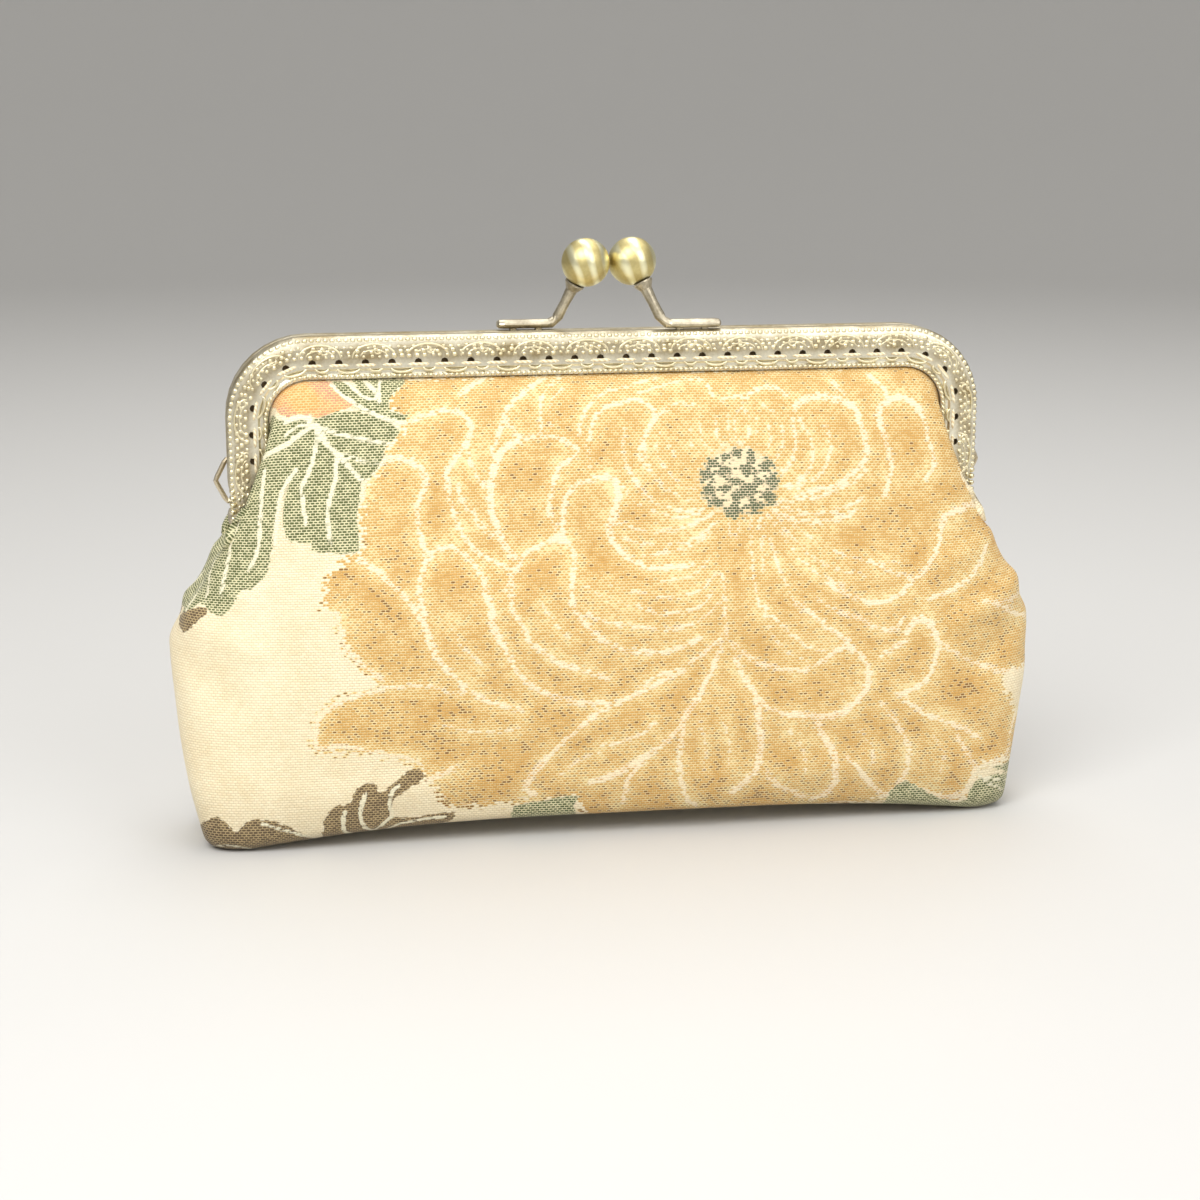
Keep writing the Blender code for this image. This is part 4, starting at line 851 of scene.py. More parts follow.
def add_node(tree, kind, inputs=None, **settings):
    made = tree.nodes.new(kind)
    for key, value in settings.items():
        setattr(made, key, value)
    for key, value in (inputs or {}).items():
        feed(tree, made.inputs[key], value)
    return made


def calc(tree, operation, *values):
    made = add_node(tree, "ShaderNodeMath", operation=operation)
    for socket, value in zip(made.inputs, values):
        feed(tree, socket, value)
    return made.outputs[0]


def between(tree, value, low, high, to_low=0.0, to_high=1.0):
    """A clamped straight ramp."""
    made = add_node(tree, "ShaderNodeMapRange", clamp=True)
    for socket, given in zip(made.inputs, (value, low, high, to_low, to_high)):
        feed(tree, socket, given)
    return made.outputs[0]


def mix_paint(tree, share, low, high):
    made = add_node(tree, "ShaderNodeMix", {0: share, 6: low, 7: high}, data_type="RGBA")
    return made.outputs[2]


def darken(tree, colour, share):
    """A colour times a share of light."""
    made = add_node(tree, "ShaderNodeMix", {0: 1.0, 6: colour, 7: share}, data_type="RGBA",
                    blend_type="MULTIPLY")
    return made.outputs[2]


def paint(red, green, blue):
    """A colour read off a screen, 0 to 255, as the linear colour that nodes use."""
    shares = [c / 255 for c in (red, green, blue)]
    return tuple(s / 12.92 if s <= 0.04045 else ((s + 0.055) / 1.055) ** 2.4 for s in shares) + (1.0,)


def start_group(name, inputs, outputs, kind="ShaderNodeTree"):
    """A group with named sockets: its tree, the sockets inside that give, and those that take."""
    tree = bpy.data.node_groups.new(name, kind)
    for label, (socket, default) in inputs.items():
        made = tree.interface.new_socket(label, in_out="INPUT", socket_type=socket)
        if default is not None:
            made.default_value = default
    for label, socket in outputs.items():
        tree.interface.new_socket(label, in_out="OUTPUT", socket_type=socket)
    return tree, tree.nodes.new("NodeGroupInput").outputs, tree.nodes.new("NodeGroupOutput").inputs


def use_group(tree, group, inputs):
    made = add_node(tree, "ShaderNodeGroup", node_tree=group)
    for key, value in inputs.items():
        feed(tree, made.inputs[key], value)
    return made.outputs


def bumped(tree, skin, height, strength=0.5):
    """Raise the surface by a height in millimetres."""
    bump = add_node(tree, "ShaderNodeBump", {"Strength": strength, "Distance": MM, "Height": height})
    feed(tree, skin["Normal"], bump.outputs["Normal"])


def start_material(name):
    material = bpy.data.materials.new(name)
    material.use_nodes = True
    return material, material.node_tree, material.node_tree.nodes["Principled BSDF"].inputs


# %% [markdown]
# ## The weave
#
# Brocade shows short floats of thread, laid like bricks. On this cloth a float is about a
# millimetre long and half as high. The group cuts the cloth's plane into such cells and gives each
# cell a random number and a rounded height. Every cloth here uses it, with its own float size.

# %% Weave group
weave, given, taken = start_group(
    "woven_threads",
    {"Cloth": ("NodeSocketVector", None), "Float Length": ("NodeSocketFloat", 1.0),
     "Float Height": ("NodeSocketFloat", 0.55)},
    {"Random": "NodeSocketFloat", "Thread": "NodeSocketFloat"})
place = add_node(weave, "ShaderNodeSeparateXYZ", {0: given["Cloth"]}).outputs
line_place = calc(weave, "DIVIDE", place[1], given["Float Height"])
line_number = calc(weave, "FLOOR", line_place)
float_place = calc(weave, "ADD", calc(weave, "DIVIDE", place[0], given["Float Length"]),
                   calc(weave, "MULTIPLY", line_number, 0.5))
cell = add_node(weave, "ShaderNodeCombineXYZ", {0: calc(weave, "FLOOR", float_place), 1: line_number})
noise = add_node(weave, "ShaderNodeTexWhiteNoise", {"Vector": cell.outputs[0]}, noise_dimensions="2D")
feed(weave, taken["Random"], noise.outputs["Value"])
along = calc(weave, "MULTIPLY_ADD", calc(weave, "FRACT", float_place), 2.0, -1.0)
across = calc(weave, "MULTIPLY_ADD", calc(weave, "FRACT", line_place), 2.0, -1.0)
rounded = calc(weave, "SUBTRACT", 1.0, calc(weave, "MULTIPLY", across, across))
ended = calc(weave, "SUBTRACT", 1.0, calc(weave, "POWER", calc(weave, "ABSOLUTE", along), 4.0))
feed(weave, taken["Thread"], calc(weave, "MULTIPLY", rounded, ended))
print("weave group:", len(weave.nodes), "nodes")

# %% [markdown]
# ## The brocade
#
# The stored distances become colours here. A random number for each float shifts every edge a
# little, so the edges step from thread to thread as in real weaving. The same numbers mix gold and
# straw floats inside the petals.

# %% Brocade colours
CREAM_DARK, CREAM_LIGHT = paint(236, 216, 174), paint(249, 236, 202)
GOLD, STRAW = paint(208, 160, 84), paint(247, 226, 168)
SPECK = paint(110, 62, 4)
OUTLINE = paint(252, 234, 196)
GREEN, GREEN_WARP = paint(88, 95, 48), paint(238, 231, 186)
BROWN, BROWN_WARP = paint(94, 74, 46), paint(196, 172, 124)
BUD, BUD_WARP, ROSE = paint(226, 160, 84), paint(248, 216, 152), paint(204, 142, 118)
VEIN = paint(246, 238, 206)
# The second colour on the next line is painted shade for the hem inside the frame
DASH, HEM_SHADE = paint(86, 94, 62), paint(96, 78, 52)


# %% How floats cover the cloth
def cloth_place(tree):
    """The place on the cloth in millimetres, from the panels' UV map."""
    stored = add_node(tree, "ShaderNodeUVMap", uv_map="cloth")
    scaled = add_node(tree, "ShaderNodeVectorMath", {0: stored.outputs[0], "Scale": CLOTH_UNIT},
                      operation="SCALE")
    return scaled.outputs[0]


def woven_in(tree, gap, jitter):
    """1 inside an outline and 0 outside it, with its edge moved float by float."""
    return between(tree, calc(tree, "ADD", gap, jitter), -0.12, 0.12, 1.0, 0.0)


def floats(tree, thread, cover):
    """The floats themselves, which grow from nothing at cover 0 to the whole cloth at 1."""
    bare = calc(tree, "SUBTRACT", 1.0, cover)
    return between(tree, calc(tree, "SUBTRACT", thread, bare), -0.10, 0.12)


# %% Threads, distances and patches of the brocade
brocade, tree, skin = start_material("woven_brocade")
cloth_mm = cloth_place(tree)
threads = use_group(tree, weave, {"Cloth": cloth_mm, "Float Length": 1.08, "Float Height": 0.62})
LAYERS = ("petal_line", "leaf_vein", "flower", "green_leaf", "brown_leaf", "bud", "dash", "disc", "tucked")
gap_of = {name: add_node(tree, "ShaderNodeAttribute", attribute_name=name).outputs["Fac"]
          for name in LAYERS}
height = add_node(tree, "ShaderNodeSeparateXYZ", {0: cloth_mm}).outputs[1]
centred = calc(tree, "SUBTRACT", threads["Random"], 0.5)
jitter = calc(tree, "MULTIPLY", centred, 0.55)
cloudy = add_node(tree, "ShaderNodeTexNoise", {"Vector": cloth_mm, "Scale": 0.10, "Detail": 3.0})
patches = cloudy.outputs["Fac"]
patch_tone = calc(tree, "MULTIPLY", calc(tree, "SUBTRACT", patches, 0.5), 1.1)
print("the brocade reads", len(gap_of), "layers")

# %% [markdown]
# ### Petals
#
# A petal is a mix of gold floats and straw ones. Beside its pale outline there are fewer gold floats, and
# more towards its middle. Dark specks lie among the gold floats, more of them low on the cloth.

# %% Petals
loose = calc(tree, "MULTIPLY_ADD", centred, 0.50, patch_tone)
near_line = between(tree, gap_of["petal_line"], -0.3, 0.7, 0.07, 0.62)
beside_line = between(tree, gap_of["petal_line"], -0.1, 3.6, 0.30, 0.66)
petal_cover = calc(tree, "ADD", calc(tree, "MINIMUM", near_line, beside_line), loose)
gold_floats = floats(tree, threads["Thread"], petal_cover)
outline_mask = woven_in(tree, gap_of["petal_line"], calc(tree, "MULTIPLY", centred, 0.8))
in_disc = woven_in(tree, gap_of["disc"], calc(tree, "MULTIPLY", centred, 0.2))
outside_disc = calc(tree, "MULTIPLY_ADD", in_disc, -0.75, 1.0)
gold_shown = calc(tree, "MULTIPLY", gold_floats, outside_disc)
pale = calc(tree, "MAXIMUM", outline_mask, in_disc)
petals = mix_paint(tree, gold_shown, mix_paint(tree, pale, STRAW, OUTLINE), GOLD)
speck_share = between(tree, height, 8.0, 75.0, 0.26, 0.08)
speck = calc(tree, "MULTIPLY", calc(tree, "LESS_THAN", threads["Random"], speck_share), gold_shown)
petals = mix_paint(tree, calc(tree, "MULTIPLY", speck, 0.8), petals, SPECK)
print("petals:", len(tree.nodes), "nodes so far")

# %% [markdown]
# ### Ground, leaves and bud
#
# The cream ground lies under everything. The flower fades into it over some millimetres, thread by
# thread. The leaves and the bud have firmer edges and a pale warp between their coloured floats.

# %% Ground, leaves and bud
cream_tone = calc(tree, "MULTIPLY_ADD", centred, 0.4, patch_tone)
# The ground is painted lighter on the middle of each float and darker at its ends and sides, which is
# painted shade, over a random tone of the thread
ground_shade_and_tone = calc(tree, "MULTIPLY_ADD", threads["Thread"], 0.6, cream_tone)
ground = mix_paint(tree, between(tree, ground_shade_and_tone, -0.2, 0.8), CREAM_DARK, CREAM_LIGHT)
in_flower = woven_in(tree, gap_of["flower"], calc(tree, "MULTIPLY", centred, 3.2))
colour = mix_paint(tree, in_flower, ground, petals)
leaf_floats = floats(tree, threads["Thread"], calc(tree, "MULTIPLY_ADD", centred, 0.40, 0.51))
rosy = mix_paint(tree, between(tree, patches, 0.46, 0.60), BUD, ROSE)
for name, warp, weft in (("bud", BUD_WARP, rosy), ("green_leaf", GREEN_WARP, GREEN),
                         ("brown_leaf", BROWN_WARP, BROWN)):
    leaf = mix_paint(tree, leaf_floats, warp, weft)
    colour = mix_paint(tree, woven_in(tree, gap_of[name], jitter), colour, leaf)
print("leaves:", len(tree.nodes), "nodes so far")

# %% [markdown]
# ### Veins, the flower's heart and painted shade
#
# Last come the pale veins, which stop at the edge of a leaf, and the dark dashes in the flower's heart.
# Painted shade darkens the hollows between floats and a band along the base, and the hem inside the frame
# is painted dark, as it lies out of the light.

# %% Veins, the flower's heart and painted shade
leaf_edge = calc(tree, "MINIMUM", gap_of["green_leaf"], gap_of["brown_leaf"])
in_vein = woven_in(tree, gap_of["leaf_vein"], calc(tree, "MULTIPLY", jitter, 0.6))
vein_mask = calc(tree, "MULTIPLY", in_vein, between(tree, leaf_edge, 0.8, 1.2, 1.0, 0.0))
colour = mix_paint(tree, vein_mask, colour, VEIN)
dash_mask = woven_in(tree, gap_of["dash"], calc(tree, "MULTIPLY", centred, 0.9))
dash_floats = floats(tree, threads["Thread"], calc(tree, "MULTIPLY_ADD", centred, 0.3, 0.75))
colour = mix_paint(tree, calc(tree, "MULTIPLY", dash_mask, dash_floats), colour, DASH)
# Painted shade in the hollows between floats
colour = darken(tree, colour, between(tree, threads["Thread"], 0.0, 0.55, 0.80, 1.0))
# Painted shade along the base: the cloth is darker towards the bottom, in cloudy patches
base_shade_band = calc(tree, "MULTIPLY_ADD", patches, 6.0, height)
colour = darken(tree, colour, between(tree, base_shade_band, 4.0, 20.0, 0.72, 1.0))
# Painted shade: the hem tucked inside the frame's channel is painted dark, as it lies out of the light
colour = mix_paint(tree, gap_of["tucked"], colour, HEM_SHADE)

# %% Brocade surface
feed(tree, skin["Base Color"], colour)
gloss = calc(tree, "ADD", centred, outline_mask)
feed(tree, skin["Roughness"], between(tree, gloss, -0.5, 1.5, 0.72, 0.5))
skin["Sheen Weight"].default_value = 0.12
relief = calc(tree, "MULTIPLY_ADD", threads["Thread"], 0.13, calc(tree, "MULTIPLY", outline_mask, 0.08))
relief = calc(tree, "MULTIPLY_ADD", vein_mask, 0.10, relief)
bumped(tree, skin, relief, 0.8)
print("brocade:", len(tree.nodes), "nodes")

# %% [markdown]
# ### The lining
#
# Inside, such a pouch has a plain lining of satin or cotton. It is seldom seen, so one quiet weave
# in a warm cream is enough.

# %% Lining material
lining, tree, skin = start_material("plain_lining")
plain = use_group(tree, weave, {"Cloth": cloth_place(tree), "Float Length": 0.5, "Float Height": 0.4})
feed(tree, skin["Base Color"], mix_paint(tree, plain["Random"], paint(205, 180, 130), paint(232, 212, 168)))
feed(tree, skin["Roughness"], between(tree, plain["Random"], 0.0, 1.0, 0.6, 0.75))
bumped(tree, skin, calc(tree, "MULTIPLY", plain["Thread"], 0.08))
print("lining:", len(tree.nodes), "nodes")

# %% [markdown]
# ### Sewing the panels in
#
# A real panel is two layers with a little wadding. Here each panel gets one wall, brocade outside
# and lining inside. Where the cloth laps over the ends of the frame's bars it is folded, so there
# both of its sides show the brocade.

# %% Sew the panels in
ROWS_UNDER_SLIT = 6
CLOTH_THICK = 1.2


def turn_laps(panel):
    """Give the faces of the laps the third material, which is the brocade again."""
    middle, rows = fine.shape[0] - 1, fine.shape[1]
    for face in panel.data.polygons:
        column, row = divmod(min(face.vertices), rows)
        if corner_column <= abs(column - middle) <= middle and row < slit_row + ROWS_UNDER_SLIT:
            face.material_index = 2


for panel in (front_panel, back_panel):
    for cloth in (brocade, lining, brocade):
        panel.data.materials.append(cloth)
    turn_laps(panel)
    wall = panel.modifiers.new("wall", "SOLIDIFY")
    wall.thickness = CLOTH_THICK * MM
    wall.offset = -1
    wall.material_offset = 1
    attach(panel, "root")
    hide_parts("pouch_body")
    print(panel.name, "replaces pouch_body")

# %% [markdown]
# ## Antique brass
#
# The frame is stamped sheet brass with an antique finish, greyer where the plating is thin. The raised
# relief has a brighter brass than the band under it, and on the band the stamped field is darkened with
# painted shade and the smooth strip carries a painted highlight. One group makes that finish for all the
# metal, and each material feeds it its own two colours.

# %% Worn brass group
worn, given, taken = start_group(
    "worn_brass",
    {"Place": ("NodeSocketVector", None), "Dull": ("NodeSocketColor", paint(176, 156, 112)),
     "Bright": ("NodeSocketColor", paint(236, 222, 178)), "Rubbed And Lit": ("NodeSocketFloat", 0.5)},
    {"Colour": "NodeSocketColor", "Roughness": "NodeSocketFloat", "Height": "NodeSocketFloat"})
clouds = add_node(worn, "ShaderNodeTexNoise", {"Vector": given["Place"], "Scale": 180.0, "Detail": 4.0})
grain = add_node(worn, "ShaderNodeTexNoise", {"Vector": given["Place"], "Scale": 1500.0, "Detail": 2.0})
cloud_share = calc(worn, "SUBTRACT", clouds.outputs["Fac"], 0.5)
cloud_tone = calc(worn, "MULTIPLY_ADD", cloud_share, 1.4, given["Rubbed And Lit"])
tone = calc(worn, "MULTIPLY_ADD", calc(worn, "SUBTRACT", grain.outputs["Fac"], 0.5), 0.5, cloud_tone)
rub_and_light_share = between(worn, tone, 0.0, 1.0)
feed(worn, taken["Colour"], mix_paint(worn, rub_and_light_share, given["Dull"], given["Bright"]))
feed(worn, taken["Roughness"], between(worn, rub_and_light_share, 0.0, 1.0, 0.5, 0.3))
feed(worn, taken["Height"], calc(worn, "MULTIPLY", grain.outputs["Fac"], 0.02))


# %% Brass materials
def wear(tree, skin, place, dull, bright, rub_and_light):
    """Give a metal skin the worn finish in two tones. On the frame's band the share of wear that comes in
    also carries painted shade and highlight.
    """
    finish = use_group(tree, worn, {"Place": place, "Dull": dull, "Bright": bright, "Rubbed And Lit": rub_and_light})
    feed(tree, skin["Base Color"], finish["Colour"])
    feed(tree, skin["Roughness"], finish["Roughness"])
    skin["Metallic"].default_value = 1.0
    bumped(tree, skin, finish["Height"])


def brass_material(name, dull, bright, rub_and_light):
    """A brass in two tones."""
    material, tree, skin = start_material(name)
    place = add_node(tree, "ShaderNodeTexCoord").outputs["Object"]
    wear(tree, skin, place, dull, bright, rub_and_light)
    return material


raised_brass = brass_material("raised_brass", paint(210, 194, 152), paint(250, 242, 210), 0.6)
arm_brass = brass_material("arm_brass", paint(112, 100, 78), paint(240, 230, 204), 0.5)
loop_brass = brass_material("loop_brass", paint(176, 160, 130), paint(238, 226, 200), 0.5)

# %% Ball material with painted highlight streaks
ball_brass, tree, skin = start_material("ball_brass")
place = add_node(tree, "ShaderNodeTexCoord").outputs["Object"]
tilted = add_node(tree, "ShaderNodeMapping", {"Vector": place})
tilted.inputs["Rotation"].default_value = (0.0, math.radians(24), 0.0)
highlight_wave = add_node(tree, "ShaderNodeTexWave", {
    "Vector": tilted.outputs[0], "Scale": 84.0, "Distortion": 4.5, "Detail": 1.0, "Detail Scale": 0.9,
    "Phase Offset": 0.6}, wave_type="BANDS", bands_direction="X")
highlight_streaks = calc(tree, "MULTIPLY", between(tree, highlight_wave.outputs["Fac"], 0.35, 1.0), 0.8)
finish = use_group(tree, worn, {
    "Place": place, "Dull": paint(178, 162, 108), "Bright": paint(226, 212, 152), "Rubbed And Lit": 0.5})
# The streaks are painted highlights in the base colour; they also make the metal a little smoother and
# raise it
feed(tree, skin["Base Color"], mix_paint(tree, highlight_streaks, finish["Colour"], paint(255, 252, 214)))
feed(tree, skin["Roughness"], between(tree, highlight_streaks, 0.0, 1.0, 0.46, 0.32))
skin["Metallic"].default_value = 1.0
bumped(tree, skin, calc(tree, "MULTIPLY", highlight_streaks, 0.04), 0.35)
print("ball brass:", len(tree.nodes), "nodes")


# %% Finer balls
def fine_ball(name, node):
    """A smooth ball in the place of the CAD one, whose facets would show in the gloss."""
    corners = np.array([tuple(v.co) for v in bpy.data.objects[node].data.vertices])
    low, high = corners.min(0), corners.max(0)
    shape = bmesh.new()
    bmesh.ops.create_uvsphere(shape, u_segments=64, v_segments=40, radius=float((high - low)[0] / 2))
    for vertex in shape.verts:
        vertex.co += Vector((low + high) / 2)
    for face in shape.faces:
        face.smooth = True
    mesh = bpy.data.meshes.new(name)
    shape.to_mesh(mesh)
    shape.free()
    mesh.materials.append(ball_brass)
    ball = bpy.data.objects.new(name, mesh)
    bpy.context.scene.collection.objects.link(ball)
    print(name, "radius", round(float((high - low)[0] / 2) * 1000, 2), "mm")
    return ball


front_ball = fine_ball("front_ball", "front_clasp_ball")
back_ball = fine_ball("back_ball", "back_clasp_ball")

# %% [markdown]
# ### The frame's stamped band
#
# The band keeps its CAD solid. Its paint follows the distance from the frame's outer edge, which a few
# nodes work out from the rounded rectangle: painted shade darkens the stamped field outside the holes, the
# outer rim and the inner lip, and the smooth strip inside the holes is painted bright as a highlight.

# %% Frame material
frame_brass, tree, skin = start_material("frame_brass")
place = add_node(tree, "ShaderNodeTexCoord").outputs["Object"]
axes = add_node(tree, "ShaderNodeSeparateXYZ", {0: place}).outputs
beside = calc(tree, "SUBTRACT", calc(tree, "ABSOLUTE", axes[0]), TOP_STRAIGHT * MM)
past_x = calc(tree, "MAXIMUM", beside, 0.0)
past_z = calc(tree, "MAXIMUM", calc(tree, "SUBTRACT", axes[2], CORNER_CENTRE * MM), 0.0)
squares = calc(tree, "MULTIPLY_ADD", past_x, past_x, calc(tree, "MULTIPLY", past_z, past_z))
inset = calc(tree, "MULTIPLY_ADD", calc(tree, "SQRT", squares), -1 / MM, FRAME_CORNER)
field = calc(tree, "MULTIPLY", between(tree, inset, 1.2, 2.2), between(tree, inset, 5.0, 6.4, 1.0, 0.0))
lip = between(tree, inset, 8.6, 9.2)
rim = calc(tree, "MULTIPLY", between(tree, inset, 0.15, 0.8, 1.0, 0.0), 0.5)
# Painted shade in the stamped field, at the inner lip and along the outer rim; the smooth strip inside the
# holes, left out of it, is painted bright as a highlight
band_shade = calc(tree, "MULTIPLY_ADD", field, 0.5, calc(tree, "MULTIPLY_ADD", lip, 0.3, rim))
rub_and_light = calc(tree, "SUBTRACT", 0.78, band_shade)
wear(tree, skin, place, paint(160, 143, 106), paint(250, 244, 222), rub_and_light)
print("frame brass:", len(tree.nodes), "nodes")

# %% Give the CAD nodes their metal
METALS = {"front_frame": frame_brass, "back_frame": frame_brass, "left_hinge_rivet": arm_brass,
          "right_hinge_rivet": arm_brass, "front_clasp_arm": arm_brass, "back_clasp_arm": arm_brass,
          "left_loop": loop_brass, "right_loop": loop_brass, "front_clasp_ball": ball_brass,
          "back_clasp_ball": ball_brass}
for name, metal in METALS.items():
    for held in bpy.data.objects[name].material_slots:
        held.material = metal
print("metal on", len(METALS), "nodes")

# %% [markdown]
# ## Pearls, pebbles and scrolls
#
# The stamping covers the band with a row of pearls along the outer edge, a pebbled field under
# leafy arches, a raised ring round each sewing hole, scallops inside the holes and a rope along
# the inner lip. Every one of these repeats along the frame's line. So one Geometry Nodes tree
# copies a small motif to a list of places, each with its own turn and size.


# %% Places along the frame
FACE_SHARES = (0.0, 0.04, 0.13, 0.27, 0.76, 0.81, 0.87, 0.92, 1.0)
FACE_SINKS = (1.5, 1.30, 0.40, 0.0, 0.0, 0.45, 0.45, 0.05, 0.30)


def face_depth(inset):
    """How far the band's face stands from the middle of the pouch at an inset from its edge."""
    return HALF_DEPTH - METAL * np.interp(np.asarray(inset) / BAND, FACE_SHARES, FACE_SINKS)


def frame_places(inset, pitch, shift=0.0, margin=0.8):
    """Even places along the frame's line at an inset: x, z and the way along it."""
    radius = FRAME_CORNER - inset
    side = CORNER_CENTRE - (BAR_END + END_SLOPE * inset / BAND + margin)
    lengths = np.cumsum([side, math.pi / 2 * radius, 2 * TOP_STRAIGHT, math.pi / 2 * radius, side])
    count = int(lengths[-1] // pitch)
    runs = (np.arange(count) + 0.5 + shift) * lengths[-1] / count
    made = []
    for run in runs[runs < lengths[-1]]:
        if run < lengths[0]:
            made.append((-(TOP_STRAIGHT + radius), CORNER_CENTRE - (lengths[0] - run), math.pi / 2))
        elif run < lengths[1]:
            turn = (run - lengths[0]) / radius
            x, z = TOP_STRAIGHT + radius * math.cos(turn), CORNER_CENTRE + radius * math.sin(turn)
            made.append((-x, z, math.pi / 2 - turn))
        elif run < lengths[2]:
            made.append((-TOP_STRAIGHT + run - lengths[1], CORNER_CENTRE + radius, 0.0))
        elif run < lengths[3]:
            turn = (run - lengths[2]) / radius
            x, z = TOP_STRAIGHT + radius * math.sin(turn), CORNER_CENTRE + radius * math.cos(turn)
            made.append((x, z, -turn))
        else:
            made.append((TOP_STRAIGHT + radius, CORNER_CENTRE - (run - lengths[3]), -math.pi / 2))
    return np.array(made)


# %% The tree that repeats a motif
repeat, given, taken = start_group(
    "repeat_motif",
    {"Places": ("NodeSocketGeometry", None), "Motif": ("NodeSocketObject", None),
     "Finish": ("NodeSocketMaterial", None), "Size Spread": ("NodeSocketFloat", 0.0),
     "Seed": ("NodeSocketInt", 7)},
    {"Copies": "NodeSocketGeometry"}, "GeometryNodeTree")
motif_shape = add_node(repeat, "GeometryNodeObjectInfo", {"Object": given["Motif"]})
turn_layer = add_node(repeat, "GeometryNodeInputNamedAttribute", {"Name": "turn"}, data_type="FLOAT_VECTOR")
size_layer = add_node(repeat, "GeometryNodeInputNamedAttribute", {"Name": "size"}, data_type="FLOAT_VECTOR")
turned = add_node(repeat, "FunctionNodeEulerToRotation", {0: turn_layer.outputs[0]})
least = calc(repeat, "SUBTRACT", 1.0, given["Size Spread"])
most = calc(repeat, "ADD", 1.0, given["Size Spread"])
chance = add_node(repeat, "FunctionNodeRandomValue", data_type="FLOAT")
feed(repeat, chance.inputs[2], least)
feed(repeat, chance.inputs[3], most)
feed(repeat, chance.inputs["Seed"], given["Seed"])
sized = add_node(repeat, "ShaderNodeVectorMath", {0: size_layer.outputs[0], "Scale": chance.outputs[1]},
                 operation="SCALE")
copies = add_node(repeat, "GeometryNodeInstanceOnPoints", {
    "Points": given["Places"], "Instance": motif_shape.outputs["Geometry"],
    "Rotation": turned.outputs[0], "Scale": sized.outputs[0]})
real = add_node(repeat, "GeometryNodeRealizeInstances", {"Geometry": copies.outputs[0]})
finished = add_node(repeat, "GeometryNodeSetMaterial", {
    "Geometry": real.outputs[0], "Material": given["Finish"]})
feed(repeat, taken["Copies"], finished.outputs[0])
print("repeat tree:", len(repeat.nodes), "nodes")


# %% Copies of a motif as plain mesh
def repeated(motif, points, turns, sizes, finish, spread=0.0, seed=7):
    """Copy a motif mesh to the points and return the result as a mesh."""
    holder = bpy.data.objects.new("motif", motif)
    spots = bpy.data.meshes.new("places")
    spots.from_pydata((np.asarray(points) * MM).tolist(), [], [])
    for name, values in (("turn", turns), ("size", sizes)):
        layer = spots.attributes.new(name, "FLOAT_VECTOR", "POINT")
        layer.data.foreach_set("vector", np.asarray(values, np.float32).ravel())
    carrier = bpy.data.objects.new("places", spots)
    for made in (holder, carrier):
        bpy.context.scene.collection.objects.link(made)
    step = carrier.modifiers.new("copies", "NODES")
    step.node_group = repeat
    sockets = {item.name: item.identifier for item in repeat.interface.items_tree if item.in_out == "INPUT"}
    step[sockets["Motif"]] = holder
    step[sockets["Finish"]] = finish
    step[sockets["Size Spread"]] = spread
    step[sockets["Seed"]] = seed
    ready = carrier.evaluated_get(bpy.context.evaluated_depsgraph_get())
    mesh = bpy.data.meshes.new_from_object(ready)
    carrier.modifiers.remove(step)
    for made in (holder, carrier):
        bpy.data.objects.remove(made)
    return mesh


def joined(name, meshes, finish):
    """One object from several meshes, with one finish."""
    shape = bmesh.new()
    for mesh in meshes:
        shape.from_mesh(mesh)
    for face in shape.faces:
        face.smooth = True
        face.material_index = 0
    made = bpy.data.meshes.new(name)
    shape.to_mesh(made)
    shape.free()
    made.materials.append(finish)
    piece = bpy.data.objects.new(name, made)
    bpy.context.scene.collection.objects.link(piece)
    print(name, len(made.polygons), "faces")
    return piece


# %% Motifs: a bead and tubes along drawn lines
def bead_mesh(wide, high, deep, rings=1):
    """A small rounded bead of these half sizes in millimetres."""
    shape = bmesh.new()
    bmesh.ops.create_icosphere(shape, subdivisions=rings + 1, radius=1.0)
    for vertex in shape.verts:
        vertex.co = Vector((vertex.co.x * wide, vertex.co.y * deep, vertex.co.z * high)) * MM
    mesh = bpy.data.meshes.new("bead")
    shape.to_mesh(mesh)
    shape.free()
    return mesh


def tube_mesh(line, thick, deep=1.0, sides=6, closed=False):
    """A tube along a line in the band's plane; open ends taper."""
    points = np.array([(x, 0.0, z) for x, z in line], float)
    count = len(points)
    ahead = np.roll(points, -1, axis=0) - np.roll(points, 1, axis=0)
    if not closed:
        ahead[0], ahead[-1] = points[1] - points[0], points[-1] - points[-2]
    ahead /= np.linalg.norm(ahead, axis=1)[:, None]
    side = np.stack([-ahead[:, 2], np.zeros(count), ahead[:, 0]], axis=1)
    angles = np.arange(sides) * 2 * math.pi / sides
    share = np.linspace(-1, 1, count)
    radius = thick * (np.ones(count) if closed else np.sqrt(np.maximum(1 - share ** 6, 0.03)))
    rings = [p + r * (math.cos(a) * s + math.sin(a) * np.array([0, deep, 0]))
             for p, s, r in zip(points, side, radius) for a in angles]
    faces = []
    for i in range(count if closed else count - 1):
        for k in range(sides):
            a, b = i * sides + k, i * sides + (k + 1) % sides
            c, d = (b + sides) % (count * sides), (a + sides) % (count * sides)
            faces.append((a, b, c, d))
    if not closed:
        faces.append(tuple(range(sides))[::-1])
        faces.append(tuple(range((count - 1) * sides, count * sides)))
    mesh = bpy.data.meshes.new("tube")
    mesh.from_pydata((np.array(rings) * MM).tolist(), [], faces)
    shape = bmesh.new()
    shape.from_mesh(mesh)
    bmesh.ops.recalc_face_normals(shape, faces=shape.faces)
    shape.to_mesh(mesh)
    shape.free()
    return mesh


def arch_line(wide, high, start=0.0, end=180.0, steps=14):
    """Part of an ellipse, from its right end over the top to its left end."""
    angles = np.radians(np.linspace(start, end, steps))
    return [(wide * math.cos(a), high * math.sin(a)) for a in angles]


def curl_line(wide, turns=1.1, steps=14):
    """A small spiral."""
    angles = np.linspace(0.3, turns * 2 * math.pi, steps)
    return [(wide * a / angles[-1] * math.cos(a), wide * a / angles[-1] * math.sin(a)) for a in angles]


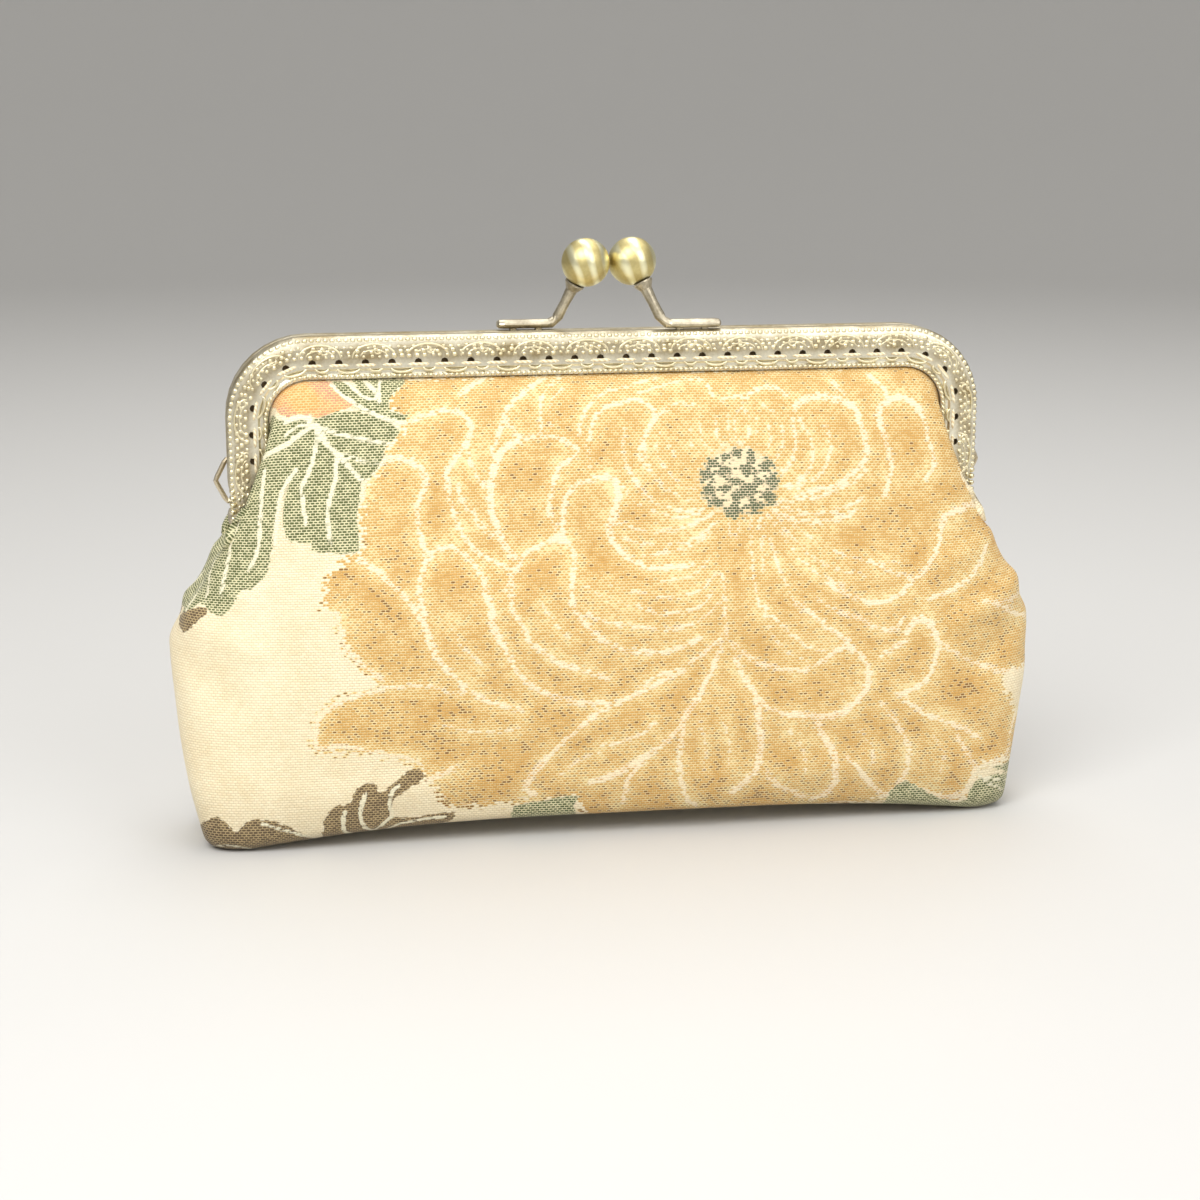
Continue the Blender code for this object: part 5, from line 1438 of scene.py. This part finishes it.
MOTIFS = {
    "pearl": bead_mesh(0.66, 0.66, 0.55),
    "pebble": bead_mesh(0.66, 0.58, 0.36, 0),
    "rope": bead_mesh(0.78, 0.42, 0.42, 0),
    "ring": tube_mesh(arch_line(1.15, 1.15, 0, 336, 15), 0.22, 0.8, closed=True),
    "arch": tube_mesh(arch_line(4.9, 2.9, -10, 190), 0.30, 0.8),
    "inner_arch": tube_mesh(arch_line(3.2, 1.6, 0, 180, 11), 0.22, 0.8),
    "curl": tube_mesh(curl_line(1.25), 0.26, 0.8),
    "scallop": tube_mesh(arch_line(2.7, 1.3, 190, 350, 11), 0.34, 0.8),
    "small_scallop": tube_mesh(arch_line(1.5, 0.95, 185, 355, 9), 0.30, 0.8),
}
print("motifs:", {name: len(mesh.polygons) for name, mesh in MOTIFS.items()})

# %% [markdown]
# ### Laying the relief on both halves
#
# The front and the back half of the frame have the same stamping. A table says which motif runs at
# which distance from the edge, at which pitch, and how deep it sits in the band.

# %% Relief table and pieces
# Motif, inset, pitch, start shift, sunk into the face, extra turn, size spread
RELIEF = (
    ("pearl", 0.95, 1.57, 0.0, 0.20, 0, 0.05),
    ("pebble", 2.45, 1.75, 0.3, 0.14, 0, 0.26),
    ("pebble", 3.45, 1.70, 0.0, 0.14, 0, 0.28),
    ("pebble", 4.45, 1.75, 0.4, 0.14, 0, 0.26),
    ("arch", 4.70, 12.0, 0.0, 0.08, 0, 0.03),
    ("inner_arch", 4.70, 12.0, 0.0, 0.08, 0, 0.03),
    ("curl", 3.10, 12.0, 0.5, 0.06, 20, 0.06),
    ("ring", 6.00, 6.0, 0.0, 0.16, 0, 0.02),
    ("scallop", 7.00, 12.0, 0.0, 0.02, 0, 0.03),
    ("small_scallop", 7.05, 12.0, 0.5, 0.02, 0, 0.03),
    ("rope", 9.05, 1.20, 0.0, 0.12, 35, 0.03),
)


def relief_piece(name, side):
    """All the stamping of one half of the frame, as one piece."""
    meshes = []
    rng = np.random.default_rng(11)
    for seed, (motif, inset, pitch, shift, sunk, turn, spread) in enumerate(RELIEF):
        places = frame_places(inset, pitch, shift)
        loose = 0.22 if motif == "pebble" else 0.0
        moved = places[:, :2] + rng.uniform(-loose, loose, (len(places), 2))
        depth = np.full(len(places), side * (face_depth(inset) - sunk))
        points = np.stack([moved[:, 0], depth, moved[:, 1]], axis=1)
        turns = np.zeros((len(places), 3))
        turns[:, 1] = -places[:, 2] - math.radians(turn) * (1 if motif != "curl" else side)
        sizes = np.ones((len(places), 3))
        meshes.append(repeated(MOTIFS[motif], points, turns, sizes, raised_brass, spread, seed))
    return joined(name, meshes, raised_brass)


front_relief = relief_piece("front_frame_relief", -1)
back_relief = relief_piece("back_frame_relief", 1)

# %% [markdown]
# ### The sewing thread
#
# The cloth is stitched into the channel through the row of holes, with a pale thread that runs
# from hole to hole along the outside.

# %% Thread material and stitches
thread_paint, tree, skin = start_material("sewing_thread")
place = add_node(tree, "ShaderNodeTexCoord").outputs["Object"]
twist = add_node(tree, "ShaderNodeTexWave", {"Vector": place, "Scale": 520.0, "Distortion": 1.5},
                 bands_direction="DIAGONAL")
strand = twist.outputs["Fac"]
feed(tree, skin["Base Color"], mix_paint(tree, strand, paint(222, 202, 158), paint(250, 240, 212)))
feed(tree, skin["Roughness"], between(tree, strand, 0.0, 1.0, 0.75, 0.55))
bumped(tree, skin, calc(tree, "MULTIPLY", strand, 0.1), 0.6)

HOLE_INSET, HOLE_PITCH = 6.0, 6.0
STITCH = tube_mesh([(x, 0.0) for x in np.linspace(-2.35, 2.35, 9)], 0.38, 0.8, 8)


def stitch_piece(name, side):
    places = frame_places(HOLE_INSET + 0.5, HOLE_PITCH, 0.5)
    depth = np.full(len(places), side * (face_depth(HOLE_INSET) + 0.05))
    points = np.stack([places[:, 0], depth, places[:, 1]], axis=1)
    turns = np.zeros((len(places), 3))
    turns[:, 1] = -places[:, 2]
    mesh = repeated(STITCH, points, turns, np.ones((len(places), 3)), thread_paint, 0.04)
    return joined(name, [mesh], thread_paint)


front_stitches = stitch_piece("front_stitches", -1)
back_stitches = stitch_piece("back_stitches", 1)

# %% Fix the relief and the thread to the pouch
for piece in (front_relief, back_relief):
    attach(piece, "root")
for piece in (front_stitches, back_stitches):
    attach(piece, "root")
for ball, node in ((front_ball, "front_clasp_ball"), (back_ball, "back_clasp_ball")):
    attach(ball, "root")
    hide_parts(node)
